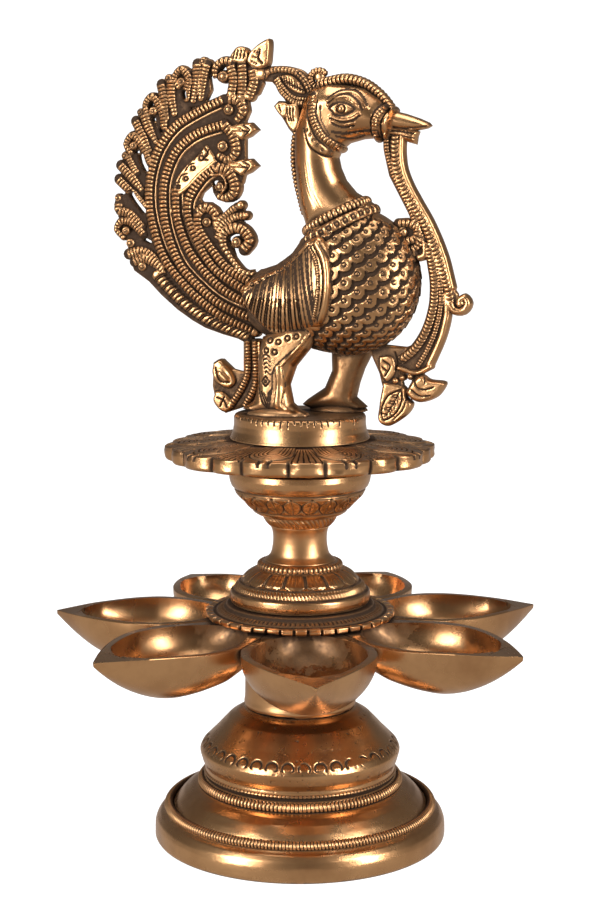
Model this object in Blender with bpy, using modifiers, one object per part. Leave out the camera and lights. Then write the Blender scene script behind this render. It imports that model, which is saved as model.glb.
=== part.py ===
"""Brass standing oil lamp (samai): a turned foot, a dish of seven oil bowls, a pillar and a bird finial.

Metres, +Z up. The origin is on the lamp's axis at the floor. The bird stands in the XZ plane and faces +X.
The lamp unscrews at three places: foot and dish, dish and pillar, pillar and bird section.
"""

import math

import bmesh
import bpy
from mathutils import Matrix, Vector

MM = 0.001

# Driving dimensions, in millimetres like every outline below.
GAP = 0.3                # clearance between neighbouring castings
FOOT_RADIUS = 47.1
FOOT_TOP = 21.2
SHOULDER_TOP = 42.7
HUB_BOTTOM = SHOULDER_TOP + GAP
HUB_TOP = 72.4
COLLAR_TOP = 76.8
PILLAR_BOTTOM = COLLAR_TOP + GAP
PILLAR_TOP = 120.0
PLATE_BOTTOM = PILLAR_TOP + GAP
PLATE_TOP = 129.6
DRUM_BOTTOM = PLATE_TOP + GAP
DRUM_TOP = 137.9
STAND_ON_DRUM = DRUM_TOP + GAP

# The three threaded studs. One turn lifts a section by one pitch.
STUD_RADIUS = 5.0
SOCKET_RADIUS = 5.25
THREAD_PITCH = 1.5
THREAD_TURNS = 5.5
THREAD_GRIP = THREAD_PITCH * THREAD_TURNS
SOCKET_CLEARANCE = 0.6   # under the stud's tip

# The dish.
BOWL_COUNT = 7
BOWL_INNER_END = 21.6
BOWL_TIP = 81.0
BOWL_HALF_WIDTH = 20.2
BOWL_DEPTH = 17.2
BOWL_RIM = 72.1
BOWL_LIP = 8.5          # solid lip between the hollow and the spout's tip
BOWL_WALL = 2.4
FIRST_BOWL_DIRECTION = math.radians(-70.3)
COLLAR_RADIUS = 30.3
COLLAR_TEETH = 40

# The lotus plate.
LOTUS_PETALS = 10
BROAD_PETAL = math.radians(20.5)
FIRST_PETAL_DIRECTION = math.radians(-88.6)

# The bird.
BREAST_CENTRE = (16.5, 0.0, 180.0)
BREAST_RADII = (22.2, 16.5, 23.0)
RUMP_CENTRE = (0.0, 0.0, 173.0)
RUMP_RADII = (19.0, 12.5, 13.5)
NECKLACE_CENTRE = (12.4, 0.0, 198.2)
NECKLACE_TILT = math.radians(-25.0)
NECKLACE_HEIGHT = 5.6
HEAD_CENTRE = (15.2, 0.0, 230.6)
HEAD_RADII = (10.2, 8.2, 9.0)
CASTING_THICKNESS = 6.0  # tail fan, tail stem and vine

TURNED_STEPS = 32
ROUND_STEPS = 24

BRASS = (0.60, 0.38, 0.15, 1.0)
DARK_BRASS = (0.42, 0.26, 0.10, 1.0)


def clear_scene():
    for obj in list(bpy.data.objects):
        bpy.data.objects.remove(obj)


def make_collection(name):
    collection = bpy.data.collections.new(name)
    bpy.context.scene.collection.children.link(collection)
    return collection


def brass_material(name, colour, roughness):
    material = bpy.data.materials.new(name)
    material.use_nodes = True
    shader = material.node_tree.nodes["Principled BSDF"]
    shader.inputs["Base Color"].default_value = colour
    shader.inputs["Metallic"].default_value = 1.0
    shader.inputs["Roughness"].default_value = roughness
    return material


def add_object(name, mesh, collection):
    obj = bpy.data.objects.new(name, mesh)
    collection.objects.link(obj)
    return obj


def object_from_bmesh(name, bm, collection):
    bmesh.ops.recalc_face_normals(bm, faces=bm.faces)
    mesh = bpy.data.meshes.new(name)
    bm.to_mesh(mesh)
    bm.free()
    return add_object(name, mesh, collection)


def finish_part(obj, colour=BRASS, roughness=0.25):
    """Gives a part its own material and smooth shading with sharp edges kept."""
    obj.data.materials.clear()
    obj.data.materials.append(brass_material(obj.name, colour, roughness))
    if obj.type == "MESH":
        obj.data.shade_smooth()
        obj.data.set_sharp_from_angle(angle=math.radians(35))
    return obj


def bake(obj):
    """Replaces an object's mesh or curve by its evaluated mesh, with welded caps and no modifiers left."""
    graph = bpy.context.evaluated_depsgraph_get()
    mesh = bpy.data.meshes.new_from_object(obj.evaluated_get(graph))
    bm = bmesh.new()
    bm.from_mesh(mesh)
    bmesh.ops.remove_doubles(bm, verts=bm.verts, dist=0.00001)
    bm.to_mesh(mesh)
    bm.free()
    name = obj.name
    matrix = obj.matrix_world.copy()
    collection = obj.users_collection[0]
    bpy.data.objects.remove(obj)
    baked = add_object(name, mesh, collection)
    baked.matrix_world = matrix
    return baked


def boolean(obj, other, operation):
    """Adds a Boolean with a cutter, which is hidden from the model."""
    modifier = obj.modifiers.new(operation.lower() + "_" + other.name, "BOOLEAN")
    modifier.operation = operation
    modifier.object = other
    other.hide_render = True
    other.display_type = "WIRE"
    return obj


def turned(name, profile, collection, steps=TURNED_STEPS):
    """Spins an outline of (radius, height) points, in millimetres, about the Z axis."""
    bm = bmesh.new()
    verts = [bm.verts.new((r * MM, 0.0, z * MM)) for r, z in profile]
    for first, second in zip(verts, verts[1:]):
        bm.edges.new((first, second))
    if profile[0][0] > 0.0:
        bm.edges.new((verts[-1], verts[0]))
    mesh = bpy.data.meshes.new(name)
    bm.to_mesh(mesh)
    bm.free()
    obj = add_object(name, mesh, collection)
    screw = obj.modifiers.new("turn", "SCREW")
    screw.axis = "Z"
    screw.steps = steps
    screw.render_steps = steps
    screw.use_merge_vertices = True
    screw.merge_threshold = 0.00001
    return obj


def flat_plate(name, outlines, thickness, collection):
    """Extrudes closed outlines of (x, y) points in millimetres; outlines inside the first are holes."""
    curve = bpy.data.curves.new(name, "CURVE")
    curve.dimensions = "2D"
    curve.fill_mode = "BOTH"
    curve.extrude = thickness * MM / 2
    for outline in outlines:
        spline = curve.splines.new("POLY")
        spline.points.add(len(outline) - 1)
        for point, (x, y) in zip(spline.points, outline):
            point.co = (x * MM, y * MM, 0.0, 1.0)
        spline.use_cyclic_u = True
    return add_object(name, curve, collection)


def side_plate(name, outlines, thickness, collection):
    """A flat plate stood up in the bird's plane: outline points are (x, z), and thickness is along Y."""
    plate = flat_plate(name, outlines, thickness, collection)
    plate.rotation_euler = (math.radians(90), 0.0, 0.0)
    bpy.context.view_layer.update()
    return bake(plate)


def circle_points(radius, count, start=0.0):
    step = math.tau / count
    return [(radius * math.cos(start + i * step), radius * math.sin(start + i * step)) for i in range(count)]


def ellipsoid(name, centre, radii, collection, grow=0.0, segments=20, rings=12):
    bm = bmesh.new()
    bmesh.ops.create_uvsphere(bm, u_segments=segments, v_segments=rings, radius=1.0)
    size = [(radius + grow) * MM for radius in radii]
    bmesh.ops.scale(bm, vec=size, verts=bm.verts)
    bmesh.ops.translate(bm, vec=[c * MM for c in centre], verts=bm.verts)
    return object_from_bmesh(name, bm, collection)


def loft(name, sections, collection, sides=14):
    """Joins elliptical sections of (x, z, direction, radius in plane, radius across, y) into one body.

    The direction, in degrees, is the way the body runs in the XZ plane, counted from +X towards +Z.
    """
    bm = bmesh.new()
    rings = []
    for x, z, direction, in_plane, across, y in sections:
        angle = math.radians(direction)
        normal = Vector((-math.sin(angle), 0.0, math.cos(angle)))
        centre = Vector((x, y, z))
        ring = []
        for i in range(sides):
            turn = math.tau * i / sides
            point = centre + normal * in_plane * math.cos(turn)
            point.y += across * math.sin(turn)
            ring.append(bm.verts.new(point * MM))
        rings.append(ring)
    for first, second in zip(rings, rings[1:]):
        for i in range(sides):
            j = (i + 1) % sides
            bm.faces.new((first[i], first[j], second[j], second[i]))
    bm.faces.new(rings[0])
    bm.faces.new(rings[-1])
    return object_from_bmesh(name, bm, collection)


def half_space(name, point, direction, collection, size=120.0):
    """A large block on the far side of a plane through point, facing along direction in the XZ plane."""
    bm = bmesh.new()
    bmesh.ops.create_cube(bm, size=size * MM)
    bmesh.ops.translate(bm, vec=(0.0, 0.0, size * MM / 2), verts=bm.verts)
    tilt = Vector((0.0, 0.0, 1.0)).rotation_difference(Vector(direction)).to_matrix().to_4x4()
    place = Matrix.Translation(Vector(point) * MM) @ tilt
    bmesh.ops.transform(bm, matrix=place, verts=bm.verts)
    return object_from_bmesh(name, bm, collection)


# Base


def make_foot(parts):
    profile = [
        (0.0, FOOT_TOP), (30.0, FOOT_TOP),
        (32.3, 20.4), (32.9, 19.2), (32.9, 18.2),
        (35.6, 16.6), (38.4, 14.2), (40.6, 12.2),
        (42.4, 11.6), (43.8, 10.8), (44.2, 9.6),
        (45.6, 7.9), (FOOT_RADIUS, 5.2), (FOOT_RADIUS, 1.0), (46.4, 0.0),
        (43.4, 0.0), (42.6, 4.5), (38.8, 9.0), (33.5, 13.4), (28.0, 17.2), (11.2, 17.2),
        (10.2, 16.2), (10.2, 0.8), (9.4, 0.0), (0.0, 0.0),
    ]
    return finish_part(turned("foot", profile, parts))


def make_shoulder(parts):
    socket_floor = SHOULDER_TOP - THREAD_GRIP - SOCKET_CLEARANCE
    profile = [
        (0.0, socket_floor), (SOCKET_RADIUS, socket_floor), (SOCKET_RADIUS, SHOULDER_TOP),
        (17.6, SHOULDER_TOP), (19.8, 41.4), (22.9, 39.4), (25.2, 37.0), (27.6, 34.4), (30.2, 32.4),
        (32.0, 30.8), (32.4, 29.0), (32.2, 27.6), (31.4, 25.2), (30.5, 23.2), (30.1, FOOT_TOP + GAP),
        (27.0, FOOT_TOP + GAP), (28.6, 27.6), (27.6, 30.2), (20.0, 36.8), (10.2, 38.8),
        (9.2, 37.8), (9.2, socket_floor - 2.4), (0.0, socket_floor - 2.4),
    ]
    return finish_part(turned("shoulder", profile, parts))


# Studs


def make_stud(name, lower_face, top, parts):
    """A stud whose grip starts THREAD_GRIP under the lower section's top face."""
    bottom = lower_face - THREAD_GRIP
    chamfer = 0.8
    profile = [
        (0.0, top), (STUD_RADIUS - chamfer, top), (STUD_RADIUS, top - chamfer),
        (STUD_RADIUS, bottom + chamfer), (STUD_RADIUS - chamfer, bottom), (0.0, bottom),
    ]
    return finish_part(turned(name, profile, parts, ROUND_STEPS), DARK_BRASS, 0.45)


# Dish


def make_hub(parts, lower_socket_top):
    upper_socket_floor = HUB_TOP - THREAD_GRIP - SOCKET_CLEARANCE
    profile = [
        (0.0, upper_socket_floor), (SOCKET_RADIUS, upper_socket_floor), (SOCKET_RADIUS, HUB_TOP),
        (21.0, HUB_TOP), (21.0, 65.0), (19.2, 62.4), (18.1, 60.4), (17.8, 52.0), (18.0, 44.0),
        (17.4, HUB_BOTTOM), (SOCKET_RADIUS, HUB_BOTTOM), (SOCKET_RADIUS, lower_socket_top),
        (0.0, lower_socket_top),
    ]
    return finish_part(turned("dish_hub", profile, parts), BRASS, 0.35)


def bowl_half_width(x):
    """Half the bowl's outer width: side by side with its neighbours at the hub end, pointed at the spout."""
    widest = 49.0
    if x < widest:
        t = (widest - x) / (widest - BOWL_INNER_END)
        room = (x * math.sin(math.pi / BOWL_COUNT) - GAP / 2) / math.cos(math.pi / BOWL_COUNT)
        return min(room, 8.6 + (BOWL_HALF_WIDTH - 8.6) * math.sqrt(1.0 - t ** 2.2))
    t = (x - widest) / (BOWL_TIP - widest)
    return BOWL_HALF_WIDTH * (1.0 - t ** 1.65) + 0.5 * t


def bowl_depth(x):
    """Depth of the outside below the rim."""
    deepest = 55.0
    if x < deepest:
        t = (deepest - x) / (deepest - BOWL_INNER_END)
        return 9.0 + (BOWL_DEPTH - 9.0) * (1.0 - t ** 1.7)
    t = (x - deepest) / (BOWL_TIP - deepest)
    return BOWL_DEPTH * (1.0 - t ** 1.9) + 1.0 * t


def bowl_rim_height(x):
    """The rim is level over the hollow and droops towards the spout."""
    droop = max(0.0, (x - 55.0) / (BOWL_TIP - 55.0))
    return BOWL_RIM - 1.3 * droop ** 2


def bowl_section(x, steps=8):
    """A closed ring across the bowl: down and up the outside, then back along the inside."""
    width = bowl_half_width(x)
    depth = bowl_depth(x)
    rim = bowl_rim_height(x)
    inner_width = max(0.0, width - BOWL_WALL)
    reach = min(x - BOWL_INNER_END - BOWL_WALL, BOWL_TIP - BOWL_LIP - x)
    inner_depth = max(0.0, depth - BOWL_WALL) if reach > 0.0 else 0.0
    ring = []
    for i in range(steps + 1):
        turn = math.pi * i / steps
        ring.append((x, width * math.cos(turn), rim - depth * math.sin(turn) ** 0.85))
    for i in range(steps + 1):
        turn = math.pi * (steps - i) / steps
        if inner_depth > 0.0:
            ring.append((x, inner_width * math.cos(turn), rim - inner_depth * math.sin(turn) ** 0.85))
        else:
            ring.append((x, 0.72 * width * math.cos(turn), rim))
    return ring


def make_bowl(index, parts):
    hollow_start = BOWL_INNER_END + BOWL_WALL
    hollow_end = BOWL_TIP - BOWL_LIP
    stations = [BOWL_INNER_END, hollow_start, hollow_start + 0.2, 29.0, 34.0, 41.0, 49.0, 56.0, 62.0, 67.5,
                hollow_end - 0.2, hollow_end, 77.0, BOWL_TIP]
    bm = bmesh.new()
    rings = [[bm.verts.new(Vector(point) * MM) for point in bowl_section(x)] for x in stations]
    count = len(rings[0])
    for first, second in zip(rings, rings[1:]):
        for i in range(count):
            j = (i + 1) % count
            bm.faces.new((first[i], first[j], second[j], second[i]))
    bm.faces.new(rings[0])
    bm.faces.new(rings[-1])
    obj = object_from_bmesh("bowl_%d" % (index + 1), bm, parts)
    obj.rotation_euler.z = FIRST_BOWL_DIRECTION + index * math.tau / BOWL_COUNT
    return finish_part(obj, BRASS, 0.22)


def collar_outline():
    points = []
    for i in range(COLLAR_TEETH * 3):
        turn = math.tau * i / (COLLAR_TEETH * 3)
        radius = COLLAR_RADIUS - (1.1 if i % 3 == 0 else 0.0)
        points.append((radius * math.cos(turn), radius * math.sin(turn)))
    return points


def make_collar(parts, cutters):
    bottom = HUB_TOP + GAP
    thickness = 2.1
    plate = flat_plate("toothed_collar", [collar_outline(), circle_points(15.0, ROUND_STEPS)], thickness, parts)
    plate.location.z = (bottom + thickness / 2) * MM
    bpy.context.view_layer.update()
    plate = bake(plate)
    bore = SOCKET_RADIUS + 0.2
    profile = [
        (bore, COLLAR_TOP), (24.4, COLLAR_TOP), (25.6, 76.2), (25.9, bottom + 1.0),
        (25.9, bottom), (bore, bottom),
    ]
    seat = turned("collar_seat", profile, cutters)
    return finish_part(boolean(plate, seat, "UNION"), DARK_BRASS, 0.4)


# Pillar


def make_pillar(parts, lower_socket_top):
    upper_socket_floor = PILLAR_TOP - THREAD_GRIP - SOCKET_CLEARANCE
    profile = [
        (0.0, upper_socket_floor), (SOCKET_RADIUS, upper_socket_floor), (SOCKET_RADIUS, PILLAR_TOP),
        (21.8, PILLAR_TOP), (22.7, 118.8), (22.6, 116.2), (21.2, 114.2), (20.4, 112.4), (18.2, 110.4),
        (16.7, 108.4), (14.7, 106.6), (11.9, 105.0), (10.9, 103.2), (9.4, 101.6), (8.6, 98.6), (8.8, 94.6),
        (10.2, 91.8), (13.2, 90.6), (13.7, 89.2), (13.3, 87.8), (17.8, 85.2), (20.2, 83.2), (21.4, 81.6),
        (22.4, 80.8), (22.4, 77.7), (21.8, PILLAR_BOTTOM),
        (18.8, PILLAR_BOTTOM), (17.6, 81.0), (12.0, 83.6), (9.4, 83.6), (9.4, PILLAR_BOTTOM),
        (SOCKET_RADIUS, PILLAR_BOTTOM), (SOCKET_RADIUS, lower_socket_top), (0.0, lower_socket_top),
    ]
    return finish_part(turned("pillar", profile, parts))


# Lotus plate and pedestal


def lotus_outline():
    """Broad petals with a narrower one between each pair, and a small notch at every meeting."""
    pitch = math.tau / LOTUS_PETALS
    steps = 5
    points = []
    for i in range(LOTUS_PETALS):
        start = FIRST_PETAL_DIRECTION + i * pitch - 0.5 * BROAD_PETAL
        for width, swell in ((BROAD_PETAL, 2.2), (pitch - BROAD_PETAL, 1.4)):
            for step in range(steps):
                along = step / steps
                radius = 40.5 + swell * math.sin(math.pi * along) ** 0.7
                turn = start + width * along
                points.append((radius * math.cos(turn), radius * math.sin(turn)))
            start += width
    return points


def make_lotus_plate(parts, cutters):
    profile = [
        (SOCKET_RADIUS, PLATE_TOP), (24.0, PLATE_TOP), (33.0, 128.8), (44.0, 127.8), (44.0, 123.5),
        (30.0, 121.8), (20.0, PLATE_BOTTOM), (SOCKET_RADIUS, PLATE_BOTTOM),
    ]
    plate = turned("lotus_plate", profile, parts)
    trim = flat_plate("lotus_trim", [lotus_outline()], 14.0, cutters)
    trim.location.z = 125.0 * MM
    bpy.context.view_layer.update()
    return finish_part(boolean(plate, bake(trim), "INTERSECT"), DARK_BRASS, 0.4)


def make_pedestal(parts, socket_top):
    profile = [
        (0.0, DRUM_TOP), (20.2, DRUM_TOP), (20.9, 137.2), (20.9, 134.8), (21.5, 132.2), (22.4, 130.7),
        (22.2, DRUM_BOTTOM), (SOCKET_RADIUS, DRUM_BOTTOM), (SOCKET_RADIUS, socket_top), (0.0, socket_top),
    ]
    return finish_part(turned("pedestal", profile, parts), BRASS, 0.2)


# Bird


def body_cutters(cutters):
    """The breast and the rump, a gap larger all round, to keep neighbours clear of the body."""
    breast = ellipsoid("breast_clearance", BREAST_CENTRE, BREAST_RADII, cutters, GAP)
    rump = ellipsoid("rump_clearance", RUMP_CENTRE, RUMP_RADII, cutters, GAP)
    return breast, rump


def necklace_axis():
    return Vector((math.sin(NECKLACE_TILT), 0.0, math.cos(NECKLACE_TILT)))


def along_necklace(height):
    return Vector(NECKLACE_CENTRE) + necklace_axis() * height


REAR_CUT = -15.0         # the body ends here, and the tail's root meets it


def make_body(parts, cutters):
    body = ellipsoid("bird_body", BREAST_CENTRE, BREAST_RADII, parts)
    rump = ellipsoid("rump", RUMP_CENTRE, RUMP_RADII, cutters)
    collar_side = half_space("above_body", along_necklace(-NECKLACE_HEIGHT / 2 - GAP), necklace_axis(), cutters)
    rear_side = half_space("behind_body", (REAR_CUT, 0.0, 175.0), (-1.0, 0.0, 0.0), cutters)
    boolean(body, rump, "UNION")
    boolean(body, collar_side, "DIFFERENCE")
    boolean(body, rear_side, "DIFFERENCE")
    return finish_part(body, BRASS, 0.35)


def make_necklace(parts):
    half = NECKLACE_HEIGHT / 2
    profile = [
        (0.0, half), (10.6, half), (11.8, 1.7), (11.6, 0.5), (13.0, 0.0), (13.4, -1.6), (12.4, -half), (0.0, -half),
    ]
    obj = turned("necklace", profile, parts, ROUND_STEPS)
    obj.location = Vector(NECKLACE_CENTRE) * MM
    obj.rotation_euler.y = NECKLACE_TILT
    return finish_part(obj, DARK_BRASS, 0.4)


def make_head(parts, cutters):
    """Neck, skull and beak."""
    foot = along_necklace(NECKLACE_HEIGHT / 2 - 4.0)
    neck_sections = [
        (foot.x, foot.z, 115.0, 11.4, 10.6, 0.0),
        (8.6, 206.6, 112.0, 9.3, 8.8, 0.0),
        (6.4, 212.6, 103.0, 7.9, 7.6, 0.0),
        (5.6, 218.6, 88.0, 7.6, 7.4, 0.0),
        (8.2, 225.2, 58.0, 8.2, 7.4, 0.0),
        (14.5, 230.0, 30.0, 6.0, 6.0, 0.0),
    ]
    upper_beak = [
        (18.0, 229.4, 0.0, 5.4, 5.6, 0.0),
        (25.6, 229.6, -2.0, 4.2, 4.4, 0.0),
        (32.0, 229.4, -12.0, 2.9, 3.4, 0.0),
        (38.2, 228.0, -18.0, 1.6, 2.2, 0.0),
        (41.8, 226.9, -20.0, 0.5, 0.8, 0.0),
    ]
    lower_beak = [
        (18.0, 226.4, 0.0, 3.6, 4.4, 0.0),
        (27.0, 224.6, -5.0, 2.1, 3.2, 0.0),
        (33.6, 223.9, -6.0, 1.4, 2.2, 0.0),
        (38.0, 223.3, -8.0, 0.5, 0.9, 0.0),
    ]
    head = loft("neck_and_head", neck_sections, parts)
    boolean(head, ellipsoid("skull", HEAD_CENTRE, HEAD_RADII, cutters), "UNION")
    boolean(head, loft("upper_beak", upper_beak, cutters, 10), "UNION")
    boolean(head, loft("lower_beak", lower_beak, cutters, 10), "UNION")
    below = half_space("below_neck", along_necklace(NECKLACE_HEIGHT / 2 + GAP), -necklace_axis(), cutters)
    boolean(head, below, "DIFFERENCE")
    return finish_part(head, BRASS, 0.25)


def make_crest_rope(parts):
    """A cord arched over the skull from the crown to the root of the beak."""
    rope_radius = 1.4
    arch_radius = HEAD_RADII[0] + rope_radius + GAP + 0.5
    curve = bpy.data.curves.new("crest_rope", "CURVE")
    curve.dimensions = "3D"
    curve.bevel_depth = rope_radius * MM
    curve.bevel_resolution = 2
    curve.use_fill_caps = True
    count = 14
    spline = curve.splines.new("POLY")
    spline.points.add(count - 1)
    for i, point in enumerate(spline.points):
        turn = math.radians(26.0 + i * (128.0 - 26.0) / (count - 1))
        x = HEAD_CENTRE[0] + 1.2 + arch_radius * math.cos(turn)
        z = HEAD_CENTRE[2] - 0.4 + arch_radius * math.sin(turn)
        point.co = (x * MM, 0.0, z * MM, 1.0)
    return finish_part(add_object("crest_rope", curve, parts), DARK_BRASS, 0.4)


def make_crest_leaf(parts):
    outline = [
        (-8.8, 240.4), (-8.8, 244.8), (-6.5, 245.8), (-2.0, 245.2), (2.2, 243.6), (4.4, 241.2), (5.6, 239.0),
        (3.4, 236.4), (1.6, 232.0), (-1.4, 226.2), (-4.6, 229.0), (-7.4, 234.2), (-3.6, 237.4),
    ]
    return finish_part(side_plate("crest_leaf", [outline], 4.6, parts), DARK_BRASS, 0.4)


def make_wing(side, cutters_of_body, parts, cutters):
    """A curved fan that lies on the body's flank; side is -1 on the right and +1 on the left."""
    outline = [
        (-12.6, 176.6), (-11.8, 181.4), (-3.0, 187.6), (6.4, 191.6), (11.4, 190.6),
        (12.2, 178.0), (11.0, 166.8), (4.0, 164.8), (-6.4, 164.2), (-10.6, 169.4),
    ]
    name = "wing_left" if side > 0 else "wing_right"
    skin = 2.4
    fan = side_plate(name, [outline], 24.0, parts)
    fan.location.y = side * 17.0 * MM
    bpy.context.view_layer.update()
    fan = bake(fan)
    outer = ellipsoid(name + "_outer", (4.0, 0.0, 179.0), (26.0, 18.9, 22.0), cutters)
    boolean(fan, outer, "INTERSECT")
    for cutter in cutters_of_body:
        boolean(fan, cutter, "DIFFERENCE")
    return finish_part(fan, DARK_BRASS, 0.4)


def make_leg(side, forward, cutters_of_body, parts, cutters):
    """A thigh, a shank and a long foot; forward is where the ankle stands along X."""
    y = side * 7.6
    sole = STAND_ON_DRUM
    name = "leg_left" if side > 0 else "leg_right"
    thigh = [
        (forward + 1.4, 163.6, -90.0, 7.2, 6.3, y),
        (forward + 0.8, 158.6, -92.0, 6.6, 5.9, y),
        (forward, 151.0, -92.0, 5.4, 4.6, y),
        (forward - 0.4, 145.0, -88.0, 4.9, 3.9, y),
        (forward + 0.6, sole + 1.0, -84.0, 5.2, 4.0, y),
    ]
    foot = [
        (forward - 10.4, sole + 1.5, 0.0, 1.1, 1.4, y),
        (forward - 5.0, sole + 2.1, 0.0, 2.0, 3.0, y),
        (forward + 1.0, sole + 2.6, 0.0, 2.5, 4.2, y),
        (forward + 6.0, sole + 2.1, 0.0, 2.0, 4.2, y),
        (forward + 10.6, sole + 1.4, 0.0, 1.1, 2.6, y),
    ]
    leg = loft(name, thigh, parts)
    boolean(leg, loft(name + "_foot", foot, cutters), "UNION")
    below = half_space(name + "_below", (forward, 0.0, sole + 0.1), (0.0, 0.0, -1.0), cutters)
    boolean(leg, below, "DIFFERENCE")
    for cutter in cutters_of_body:
        boolean(leg, cutter, "DIFFERENCE")
    return finish_part(leg, BRASS, 0.3)


def make_tail_fan(parts):
    """The pierced fan: a broad blade that sweeps up from the rump, scalloped by its plume tips."""
    root = REAR_CUT - GAP
    outline = [
        (root, 160.4), (-20.5, 160.6), (-28.6, 163.5), (-41.1, 170.9), (-49.2, 178.4), (-56.0, 184.6),
        (-58.8, 190.6), (-61.4, 196.2), (-62.0, 202.0), (-60.8, 209.2), (-59.3, 216.5), (-57.4, 224.1),
        (-54.4, 229.8), (-50.0, 237.1), (-46.0, 241.4), (-40.0, 244.6), (-31.0, 246.6), (-22.4, 248.2),
        (-20.6, 251.2), (-14.6, 253.4), (-9.6, 252.8), (-9.8, 247.0), (-10.4, 243.0), (-12.2, 238.2),
        (-16.2, 233.6), (-14.3, 227.6), (-16.4, 223.0), (-14.3, 216.4), (-18.0, 212.0), (-16.7, 201.6),
        (-14.9, 193.8), (-18.4, 188.6), (-19.4, 183.8), (root, 180.4),
    ]
    opening = [(-45.6, 196.0), (-47.0, 203.0), (-44.0, 203.6), (-42.8, 196.6)]
    plate = side_plate("tail_fan", [outline, opening], CASTING_THICKNESS, parts)
    return finish_part(plate, DARK_BRASS, 0.4)


def make_tail_stem(parts):
    """The prop under the tail, with the bud at its back."""
    outline = [
        (-17.6, 159.6), (-12.2, 159.6), (-11.8, 150.0), (-12.0, STAND_ON_DRUM), (-25.4, STAND_ON_DRUM),
        (-28.4, 141.4), (-29.2, 146.2), (-28.0, 152.6), (-25.2, 154.2), (-21.8, 150.4), (-18.4, 148.2),
    ]
    return finish_part(side_plate("tail_stem", [outline], 5.0, parts), DARK_BRASS, 0.4)


def make_vine(cutters_of_body, parts):
    """The vine from the beak, its scroll on the breast, and the leaf and buds under it."""
    outline = [
        (26.9, 221.8), (33.2, 221.4), (33.6, 216.2), (36.4, 208.9), (40.4, 201.7), (44.6, 194.4), (47.1, 187.2),
        (49.3, 180.0), (53.6, 174.6), (53.4, 171.8), (50.0, 168.2), (47.6, 163.0), (44.8, 156.6), (47.2, 149.6),
        (41.8, 149.6), (36.6, 143.6), (32.2, 138.4), (28.2, 135.3), (25.4, 138.0), (24.2, 144.6), (22.4, 150.6),
        (22.6, 156.0), (29.4, 157.6), (34.4, 160.2), (39.2, 165.0), (41.2, 170.6), (42.2, 177.0), (42.4, 184.0),
        (40.6, 189.6), (38.6, 186.0), (35.4, 187.0), (32.0, 195.0), (33.4, 200.6), (31.2, 206.4), (28.8, 211.6),
    ]
    vine = side_plate("vine", [outline], 5.0, parts)
    for cutter in cutters_of_body:
        boolean(vine, cutter, "DIFFERENCE")
    return finish_part(vine, DARK_BRASS, 0.4)


def make_base(parts):
    make_foot(parts)
    make_shoulder(parts)


def make_dish(parts, cutters):
    stud_top = HUB_BOTTOM + 12.0
    make_stud("dish_stud", SHOULDER_TOP, stud_top, parts)
    make_hub(parts, stud_top + GAP)
    for index in range(BOWL_COUNT):
        make_bowl(index, parts)
    make_collar(parts, cutters)


def make_pillar_section(parts):
    stud_top = PILLAR_BOTTOM + 10.0
    make_stud("pillar_stud", HUB_TOP, stud_top, parts)
    make_pillar(parts, stud_top + GAP)


def make_bird_section(parts, cutters):
    stud_top = DRUM_BOTTOM + 4.7
    make_stud("finial_stud", PILLAR_TOP, stud_top, parts)
    make_lotus_plate(parts, cutters)
    make_pedestal(parts, stud_top + GAP)
    clearance = body_cutters(cutters)
    make_body(parts, cutters)
    make_necklace(parts)
    make_head(parts, cutters)
    make_crest_rope(parts)
    make_crest_leaf(parts)
    make_wing(-1, clearance, parts, cutters)
    make_wing(1, clearance, parts, cutters)
    make_leg(-1, -5.8, clearance, parts, cutters)
    make_leg(1, 10.4, clearance, parts, cutters)
    make_tail_fan(parts)
    make_tail_stem(parts)
    make_vine(clearance, parts)


def main():
    clear_scene()
    parts = make_collection("standing_oil_lamp")
    cutters = make_collection("cutters")
    make_base(parts)
    make_dish(parts, cutters)
    make_pillar_section(parts)
    make_bird_section(parts, cutters)


main()
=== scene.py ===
"""Looks of the brass standing oil lamp: a detailed cast and turned surface for every part of the frame.

Shapes are worked out in millimetres on numpy grids and turned into metres when a mesh is made.
Every mesh carries a point attribute, patina_and_shade, from 0 (rubbed bright) to 1 (black tarnish in a
recess); in a few places it also holds painted shade and painted shadow.
"""

import math

import bpy
import numpy as np
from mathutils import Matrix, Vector


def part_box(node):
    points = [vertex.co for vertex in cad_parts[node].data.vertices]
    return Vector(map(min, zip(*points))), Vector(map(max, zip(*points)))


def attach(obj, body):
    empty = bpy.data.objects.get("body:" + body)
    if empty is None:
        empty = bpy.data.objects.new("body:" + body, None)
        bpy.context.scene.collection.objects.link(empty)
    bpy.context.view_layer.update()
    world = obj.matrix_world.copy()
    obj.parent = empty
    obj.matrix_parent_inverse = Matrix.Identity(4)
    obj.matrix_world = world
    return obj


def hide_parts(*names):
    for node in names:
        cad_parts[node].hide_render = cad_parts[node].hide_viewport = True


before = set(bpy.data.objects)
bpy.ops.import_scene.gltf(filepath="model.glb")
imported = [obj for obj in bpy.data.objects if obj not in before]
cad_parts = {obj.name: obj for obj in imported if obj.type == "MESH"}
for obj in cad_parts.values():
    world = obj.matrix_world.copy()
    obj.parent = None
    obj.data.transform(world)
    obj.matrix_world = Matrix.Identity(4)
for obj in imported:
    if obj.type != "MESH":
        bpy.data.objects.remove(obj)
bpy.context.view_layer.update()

MM = 0.001
TAU = math.tau

POLISHED = "polished_brass"
SATIN = "satin_brass"
CHASED = "chased_brass"


# Camera: a long lens a little above the bowls, slightly ahead of the bird's flank.

CAMERA_AZIMUTH = math.radians(16.5)
CAMERA_DISTANCE = 0.575
CAMERA_HEIGHT = 0.2088
CAMERA_PITCH = math.radians(8.2)
CAMERA_LENS = 73.2


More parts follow.
